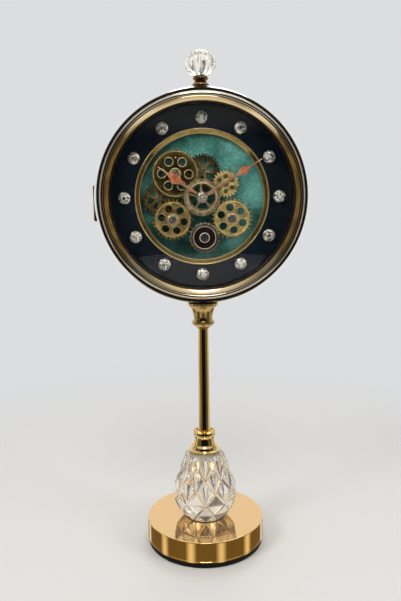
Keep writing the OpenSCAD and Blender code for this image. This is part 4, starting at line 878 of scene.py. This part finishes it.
def make_finial_neck():
    """Turned neck: flared foot on the case, waist and a ring under the ball."""
    z = 476.5
    outline = [(0, z - 0.8), (8.5, z - 0.8), (8.6, z + 0.5), (8.3, z + 1.2), (7.4, z + 2.3),
               (6.3, z + 3.5), (5.9, z + 4.4), (6.1, z + 5.0), (7.1, z + 5.4)]
    outline += arc(6.9, z + 6.9, 0.9, -50, 50, 6)
    outline += [(6.9, z + 8.0), (7.2, z + 8.5), (7.1, z + 9), (0, z + 9), (0, z - 0.8)]
    turned_piece(outline, 128, "turned_finial_neck", "clock", [neck_gold_painted_shade], ["finial_neck"])


def make_case():
    """Drawn barrel, chromed, with rolled rims and an inward flange at each end."""
    bulge_at, bulge, inner_bulge = 56.6, 50.9, 49.5
    outer = math.degrees(math.asin(21.6 / bulge))
    inner = math.degrees(math.asin(20.5 / inner_bulge))
    outline = [(89.8, 22.0), (102.0, 22.0)] + arc(bulge_at, 0, bulge, outer, -outer, 32)
    outline += [(102.0, -22.0), (95.0, -22.0), (95.0, -20.5)]
    outline += arc(bulge_at, 0, inner_bulge, -inner, inner, 24) + [(89.8, 20.5), (89.8, 22.0)]
    turned_piece(outline, 288, "chromed_case", "clock", [chrome], ["case_band"], MIDDLE)
    ring = [(94.0, 22.0), (102.1, 22.0), (102.5, 22.4), (102.5, 24.8), (102.1, 25.2), (94.0, 25.2),
            (94.0, 22.0)]
    turned_piece(ring, 256, "rubber_gasket", "clock", [rubber], ["case_gasket"], MIDDLE)


def make_bezel():
    """Spun bezel: thin bead, rounded band, a narrow dark groove and a wide leaning flat band."""
    outline = [(91.6, 25.2), (98.5, 25.2), (99.0, 25.7), (99.0, 29.9)]
    outline += arc(98.45, 30.0, 0.55, 0, 110, 5)
    outline += [(98.3, 30.3), (98.2, 31.0)] + arc(96.2, 31.7, 2.0, -10, 130, 9)
    outline += [(94.8, 32.6), (94.6, 32.2), (94.15, 32.2), (94.05, 33.2)]
    outline += arc(93.65, 33.4, 0.4, 20, 112, 3)
    outline += [(89.9, 32.0), (88.7, 31.1), (88.1, 30.3), (88.1, 29.4), (91.6, 29.4), (91.6, 25.2)]
    bezel = turned_piece(outline, 288, "spun_bezel", "clock", [champagne, gold_painted_shade, bead_plate],
                         ["bezel_frame"], MIDDLE)
    # Painted shade in the bezel's groove
    paint_faces(bezel, 1, lambda c, n: 94.0 * MM < off_axis(c) < 94.9 * MM
                and 31.9 * MM < -c.y < 32.9 * MM)
    # Painted shade on the bezel's inner lip
    paint_faces(bezel, 1, lambda c, n: off_axis(c) < 89.7 * MM)
    paint_faces(bezel, 2, lambda c, n: off_axis(c) > 94.9 * MM)


def make_dome():
    """Domed glass with a ground flat edge."""
    bow, steps = 358.3, 20

    def curve(radii, apex):
        return [(r, apex - bow + math.sqrt(bow * bow - r * r)) for r in radii]

    inside = curve([85.1 * i / steps for i in range(steps + 1)], 38.4)
    outside = curve([87.9 * (steps - i) / steps for i in range(steps + 1)], 40.4)
    outline = inside + [(85.1, 27.4), (91.5, 27.4), (91.5, 29.4), (88.1, 29.4)] + outside
    turned_piece(outline, 192, "domed_glass", "clock", [dome_glass], ["bezel_glass"], MIDDLE)


def make_dial_rings():
    """Gold step ring with a lip painted as a highlight, and the lacquered hour ring round it."""
    outline = [(61.3, 4.5), (66.35, 4.5), (66.35, 12.4)] + arc(65.95, 12.3, 0.4, 0, 180, 6)
    outline += [(65.45, 12.1), (65.2, 11.6), (61.9, 10.2), (61.5, 10.3), (61.3, 10.0), (61.3, 4.5)]
    step = turned_piece(outline, 256, "stamped_step_ring", "clock", [step_gold, step_painted_highlight],
                        ["dial_step_ring"], MIDDLE)
    # Painted highlight on the ring's outer lip and on its inner edge
    paint_faces(step, 1, lambda c, n: off_axis(c) > 65.2 * MM
                or (off_axis(c) < 61.85 * MM and -c.y > 9.5 * MM))
    ring = [(66.45, 4.5), (87.9, 4.5), (87.9, 11.4)] + arc(87.3, 11.4, 0.6, 0, 90, 4)
    ring += arc(66.85, 11.6, 0.4, 90, 180, 4) + [(66.45, 4.5)]
    turned_piece(ring, 256, "lacquered_hour_ring", "clock", [navy], ["dial_ring"], MIDDLE)


def make_stones():
    """Twelve foil-backed stones: cut crown, and a low cup round it; their facets get lit, shaded and
    gold-reflecting foil tones at random, painted light that differs on each.
    """
    circle, front = 76.4, 12.0
    step, extra_turn = 30, 13       # in degrees
    crown = cut_body([6.0, 6.1, 5.3, 4.2, 2.9, 1.5], [0.9, 1.6, 2.6, 3.3, 3.75, 4.0], 11)
    pick(crown)
    bpy.ops.object.transform_apply(location=True, rotation=True, scale=True)
    cup = turned([(5.9, 0), (6.3, 0), (6.3, 1.2), (6.2, 1.6), (6.05, 1.7), (5.9, 1.0), (5.9, 0)], 48)
    soften(cup, 30)
    stones = [crown] + [copy_of(crown) for i in range(11)]
    cups = [cup] + [copy_of(cup) for i in range(11)]
    for i, (stone, seat) in enumerate(zip(stones, cups)):
        a = math.radians(90 - step * i)
        x, y = circle * math.cos(a), circle * math.sin(a)
        to_head(stone, x, y, front, step * i + extra_turn * i)
        to_head(seat, x, y, front)
        lay(seat, antique_silver)
        lay(stone, foil, foil_painted_shade, foil_painted_deep_shade, foil_painted_gold_reflection)
        # Painted light and shade: each facet gets a lit, shaded, deep-shaded or gold-reflecting foil tone,
        # drawn at random
        for face in stone.data.polygons:
            face.material_index = draw_tone(face, (7, 4, 2, 3), 12)
        piece = join([stone, seat])
        piece.name = piece.data.name = "hour_stone_%02d" % (i if i else 12)
        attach(piece, "clock")
        if i == 0:
            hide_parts("hour_stones")


def half_round(radius, width, height):
    """Raised half-round ring lying on the floor."""
    r, w, h = radius, width / 2, height
    ring = turned([(r - w, -0.02), (r - w, 0.35 * h), (r - 0.6 * w, 0.85 * h), (r, h),
                   (r + 0.6 * w, 0.85 * h), (r + w, 0.35 * h), (r + w, -0.02), (r - w, -0.02)],
                  96 if radius > 8 else 40)
    soften(ring, 50)
    return ring


def domed_cap(radius, height, steps=40):
    """Low turned cap with a rounded edge and a centre dimple."""
    r, h = radius, height
    cap = turned([(0, 0), (r, 0), (r, 0.45 * h), (0.93 * r, 0.8 * h), (0.7 * r, h), (0.32 * r, h),
                  (0.26 * r, 0.7 * h), (0, 0.7 * h)], steps)
    soften(cap, 35)
    return cap


def trim(name, body, material, rings, at, front, holes=None):
    """Bright raised rings of one wheel, joined: rings are (radius, width, height), and a set of
    equal rims goes round its holes (count, circle, radius, turn)."""
    made = []
    for size in rings:
        ring = half_round(*size)
        to_head(ring, at[0], at[1], front)
        made.append(ring)
    if holes:
        count, circle, radius, turn = holes
        rim = half_round(radius + 0.3, 0.7, 0.28)
        rims = [rim] + [copy_of(rim) for i in range(count - 1)]
        for i, piece in enumerate(rims):
            a = math.radians(turn + 360 * i / count)
            to_head(piece, at[0] + circle * math.cos(a), at[1] + circle * math.sin(a), front)
            made.append(piece)
    piece = join(made)
    return finish_piece(piece, name, body, [material])


def make_wheels():
    """Eight wheels with broken edges, their bright rims and the caps on their posts."""
    # The second finish of each wheel is a painted highlight on its broken edges
    for place, finish, edge, tarnish_and_highlight in (
            ("big", big_finish, 0.2, bright_brass), ("left", left_finish, 0.22, bright_brass),
            ("right", right_finish, 0.22, bright_brass), ("drive", drive_finish, 0.16, silver_gilt),
            ("upper", upper_finish, 0.2, bright_brass), ("centre", centre_finish, 0.18, rose_rim),
            ("petal", petal_finish, 0.16, aged_brass), ("side", side_finish, 0.16, aged_brass)):
        dressed(place + "_gear", place + "_wheel_plated", finish, edge, tarnish_and_highlight)
    trim("big_wheel_rims", "big_wheel", bright_brass, [(21.7, 0.8, 0.34), (5.1, 1.0, 0.62)],
         BIG_AT, 10.8, (6, 13.2, 4.0, -2))
    trim("left_wheel_rims", "left_wheel", bright_brass, [(16.65, 0.8, 0.95), (4.9, 0.8, 0.75)],
         LEFT_AT, 14.8, (6, 11.2, 3.8, -10))
    trim("right_wheel_rims", "right_wheel", bright_brass, [(16.65, 0.8, 0.95), (4.9, 0.8, 0.75)],
         RIGHT_AT, 14.8, (6, 11.2, 3.8, -20))
    trim("drive_wheel_rims", "drive_wheel", silver_gilt, [(11.15, 0.8, 1.15), (4.5, 1.2, 1.6)],
         DRIVE_AT, 15.2)
    trim("upper_wheel_rims", "upper_wheel", bright_brass, [(10.65, 0.7, 0.22), (3.3, 0.7, 0.6)],
         UPPER_AT, 12.8)
    trim("centre_wheel_rims", "centre_wheel", rose_rim, [(13.8, 0.8, 0.3), (5.1, 0.8, 0.35)],
         CENTRE_AT, 16.6)
    rivet = domed_cap(0.8, 0.35, 20)
    to_head(rivet, BIG_AT[0] + 0.55, BIG_AT[1] + 15.85, 10.8)
    finish_piece(rivet, "big_wheel_rivet", "big_wheel", [bright_brass])
    caps = []
    for (x, y), s, r in ((LEFT_AT, 15.45, 4.4), (RIGHT_AT, 15.45, 4.4), (UPPER_AT, 13.45, 2.7),
                         (PETAL_AT, 8.95, 2.7), (BIG_AT, 11.45, 2.7), (SIDE_AT, 8.95, 2.7)):
        cap = domed_cap(r, 0.7)
        to_head(cap, x, y, s)
        caps.append(cap)
    collar = turned([(3.12, 0), (4.4, 0), (4.4, 0.5), (4.1, 0.7), (3.12, 0.7), (3.12, 0)], 64)
    to_head(collar, 0, 0, 16.75)
    smooth(collar)
    piece = join(caps + [collar])
    finish_piece(piece, "post_caps", "clock", [grey_nickel], ["gear_caps"])
    turned_piece([(0, 0), (3.3, 0), (3.3, 0.25), (3.1, 0.4), (0, 0.4), (0, 0)], 40,
                 "drive_wheel_plug", "drive_wheel", [matt_black], at=DRIVE_AT + (15.9,))


def make_hands():
    """Stamped hands with broken edges, and the ring nut with the arbor's end in it."""
    dressed("hour_hand", "hour_hand_lacquered", hour_finish, 0.2)
    dressed("minute_hand", "minute_hand_lacquered", minute_finish, 0.2)
    outline = [(0, 21.7), (4.1, 21.7), (4.2, 22.0), (3.9, 22.2), (3.5, 22.3), (3.45, 23.4),
               (3.2, 23.8), (2.6, 23.9), (2.2, 23.7), (2.05, 22.9), (1.35, 22.9), (1.3, 23.9),
               (1.0, 24.2), (0, 24.3)]
    nut = turned_piece(outline, 64, "ring_hand_nut", "minute", [bright_nut, gold_painted_shade, nickel],
                       ["hand_nut"], MIDDLE, 40)
    # Painted shade in the nut's ring groove
    paint_faces(nut, 1, lambda c, n: 1.4 * MM < off_axis(c) < 2.2 * MM)
    paint_faces(nut, 2, lambda c, n: off_axis(c) > 3.6 * MM)


def make_back():
    """Pressed rear door with a rolled edge and a finger pull; hinge, movement and battery box."""
    door = [(0, -22.35), (101.8, -22.35), (102.2, -22.7), (102.2, -23.3), (101.7, -23.8),
            (97.6, -23.8), (97.0, -23.35), (93.6, -23.35), (93.0, -23.8), (0, -23.8)]
    turned_piece(door, 256, "pressed_rear_door", "door", [powder_coat], ["rear_door"],
                 MIDDLE)
    pull = [(0, -23.75), (5.2, -23.75), (5.2, -24.1), (4.7, -24.6), (3.9, -24.9), (2.6, -24.6),
            (0, -24.4)]
    turned_piece(pull, 48, "door_pull", "door", [zinc], at=(86, 0))
    for node, name, material, edge in (
            ("door_leaf", "door_leaf_brass", aged_brass, 0.2),
            ("case_leaf", "case_leaf_brass", aged_brass, 0.2),
            ("hinge_pin", "hinge_pin_headed", zinc, 0.15),
            ("movement_box", "movement_housing", moulded_black, 0.5),
            ("battery_box", "battery_housing", moulded_black, 0.35),
            ("battery_lid", "battery_cover", moulded_black, 0.3),
            ("gear_motor", "gear_motor_can", zinc, 0.5), ("setting_knob", "fluted_knob", ivory, 0.4),
            ("power_switch", "slide_switch", ivory, 0.3),
            ("saddle_washer", "saddle_ring", rubber, 0.3)):
        dressed(node, name, material, edge)


place_camera()
light_room()
# Two lamps that leave no spot on the plating, then one in front and one behind that may
lamp((-1.15, -0.95, 1.35), (0, 0, 0.3), 0.6, 12, mirrored=False)
lamp((1.3, -0.8, 0.9), (0, 0, 0.3), 0.7, 7, mirrored=False)
lamp((0.0, -0.9, 1.55), (0, 0, 0.3), 0.5, 5)
lamp((0.1, 0.75, 1.3), (0, 0, 0.35), 0.8, 4)

make_floor()
make_base()
make_collar()
make_column()
make_capital()
make_egg()
make_finial()
make_finial_neck()
make_case()
make_bezel()
make_dome()
make_dial_rings()
make_stones()
make_wheels()
make_hands()
make_back()

# Finishes laid on the frame's own solids
CARRIED = {
    "base_weight": cast_iron, "rod_foot_nut": zinc, "tie_rod": pale_gilt, "rod_head_nut": zinc,
    "egg_washers": crystal, "saddle_washer": rubber, "case_band": chrome, "case_gasket": rubber,
    "bezel_frame": champagne, "bezel_glass": dome_glass, "glass_retainer": matt_black,
    "dial_sleeve": matt_black, "dial_board": matt_black, "board_screws": zinc, "dial_plate": teal,
    "dial_step_ring": step_gold, "dial_ring": navy, "hour_stones": foil, "gear_posts": nickel,
    "gear_caps": nickel, "centre_gear": nickel, "left_gear": bright_brass,
    "right_gear": bright_brass, "drive_gear": aged_brass, "drive_shaft": zinc,
    "upper_gear": bright_brass, "petal_gear": aged_brass, "side_gear": aged_brass,
    "big_gear": aged_brass, "hour_hand": coral, "hour_pipe": pale_rose, "minute_hand": coral,
    "minute_arbor": zinc, "hand_nut": pale_rose, "movement_box": moulded_black,
    "movement_stem": pale_rose, "stem_nut": pale_rose, "clock_cell": zinc, "setting_knob": ivory,
    "gear_motor": zinc, "battery_box": moulded_black, "battery_cells": cell_jacket,
    "battery_lid": moulded_black, "power_switch": ivory, "rear_door": powder_coat,
    "door_leaf": aged_brass, "case_leaf": aged_brass, "hinge_pin": zinc,
    "finial_neck": neck_gold_painted_shade, "finial_stud": zinc,
}
for node, material in CARRIED.items():
    lay(NODE[node], material)

bpy.context.scene.view_settings.view_transform = "Standard"
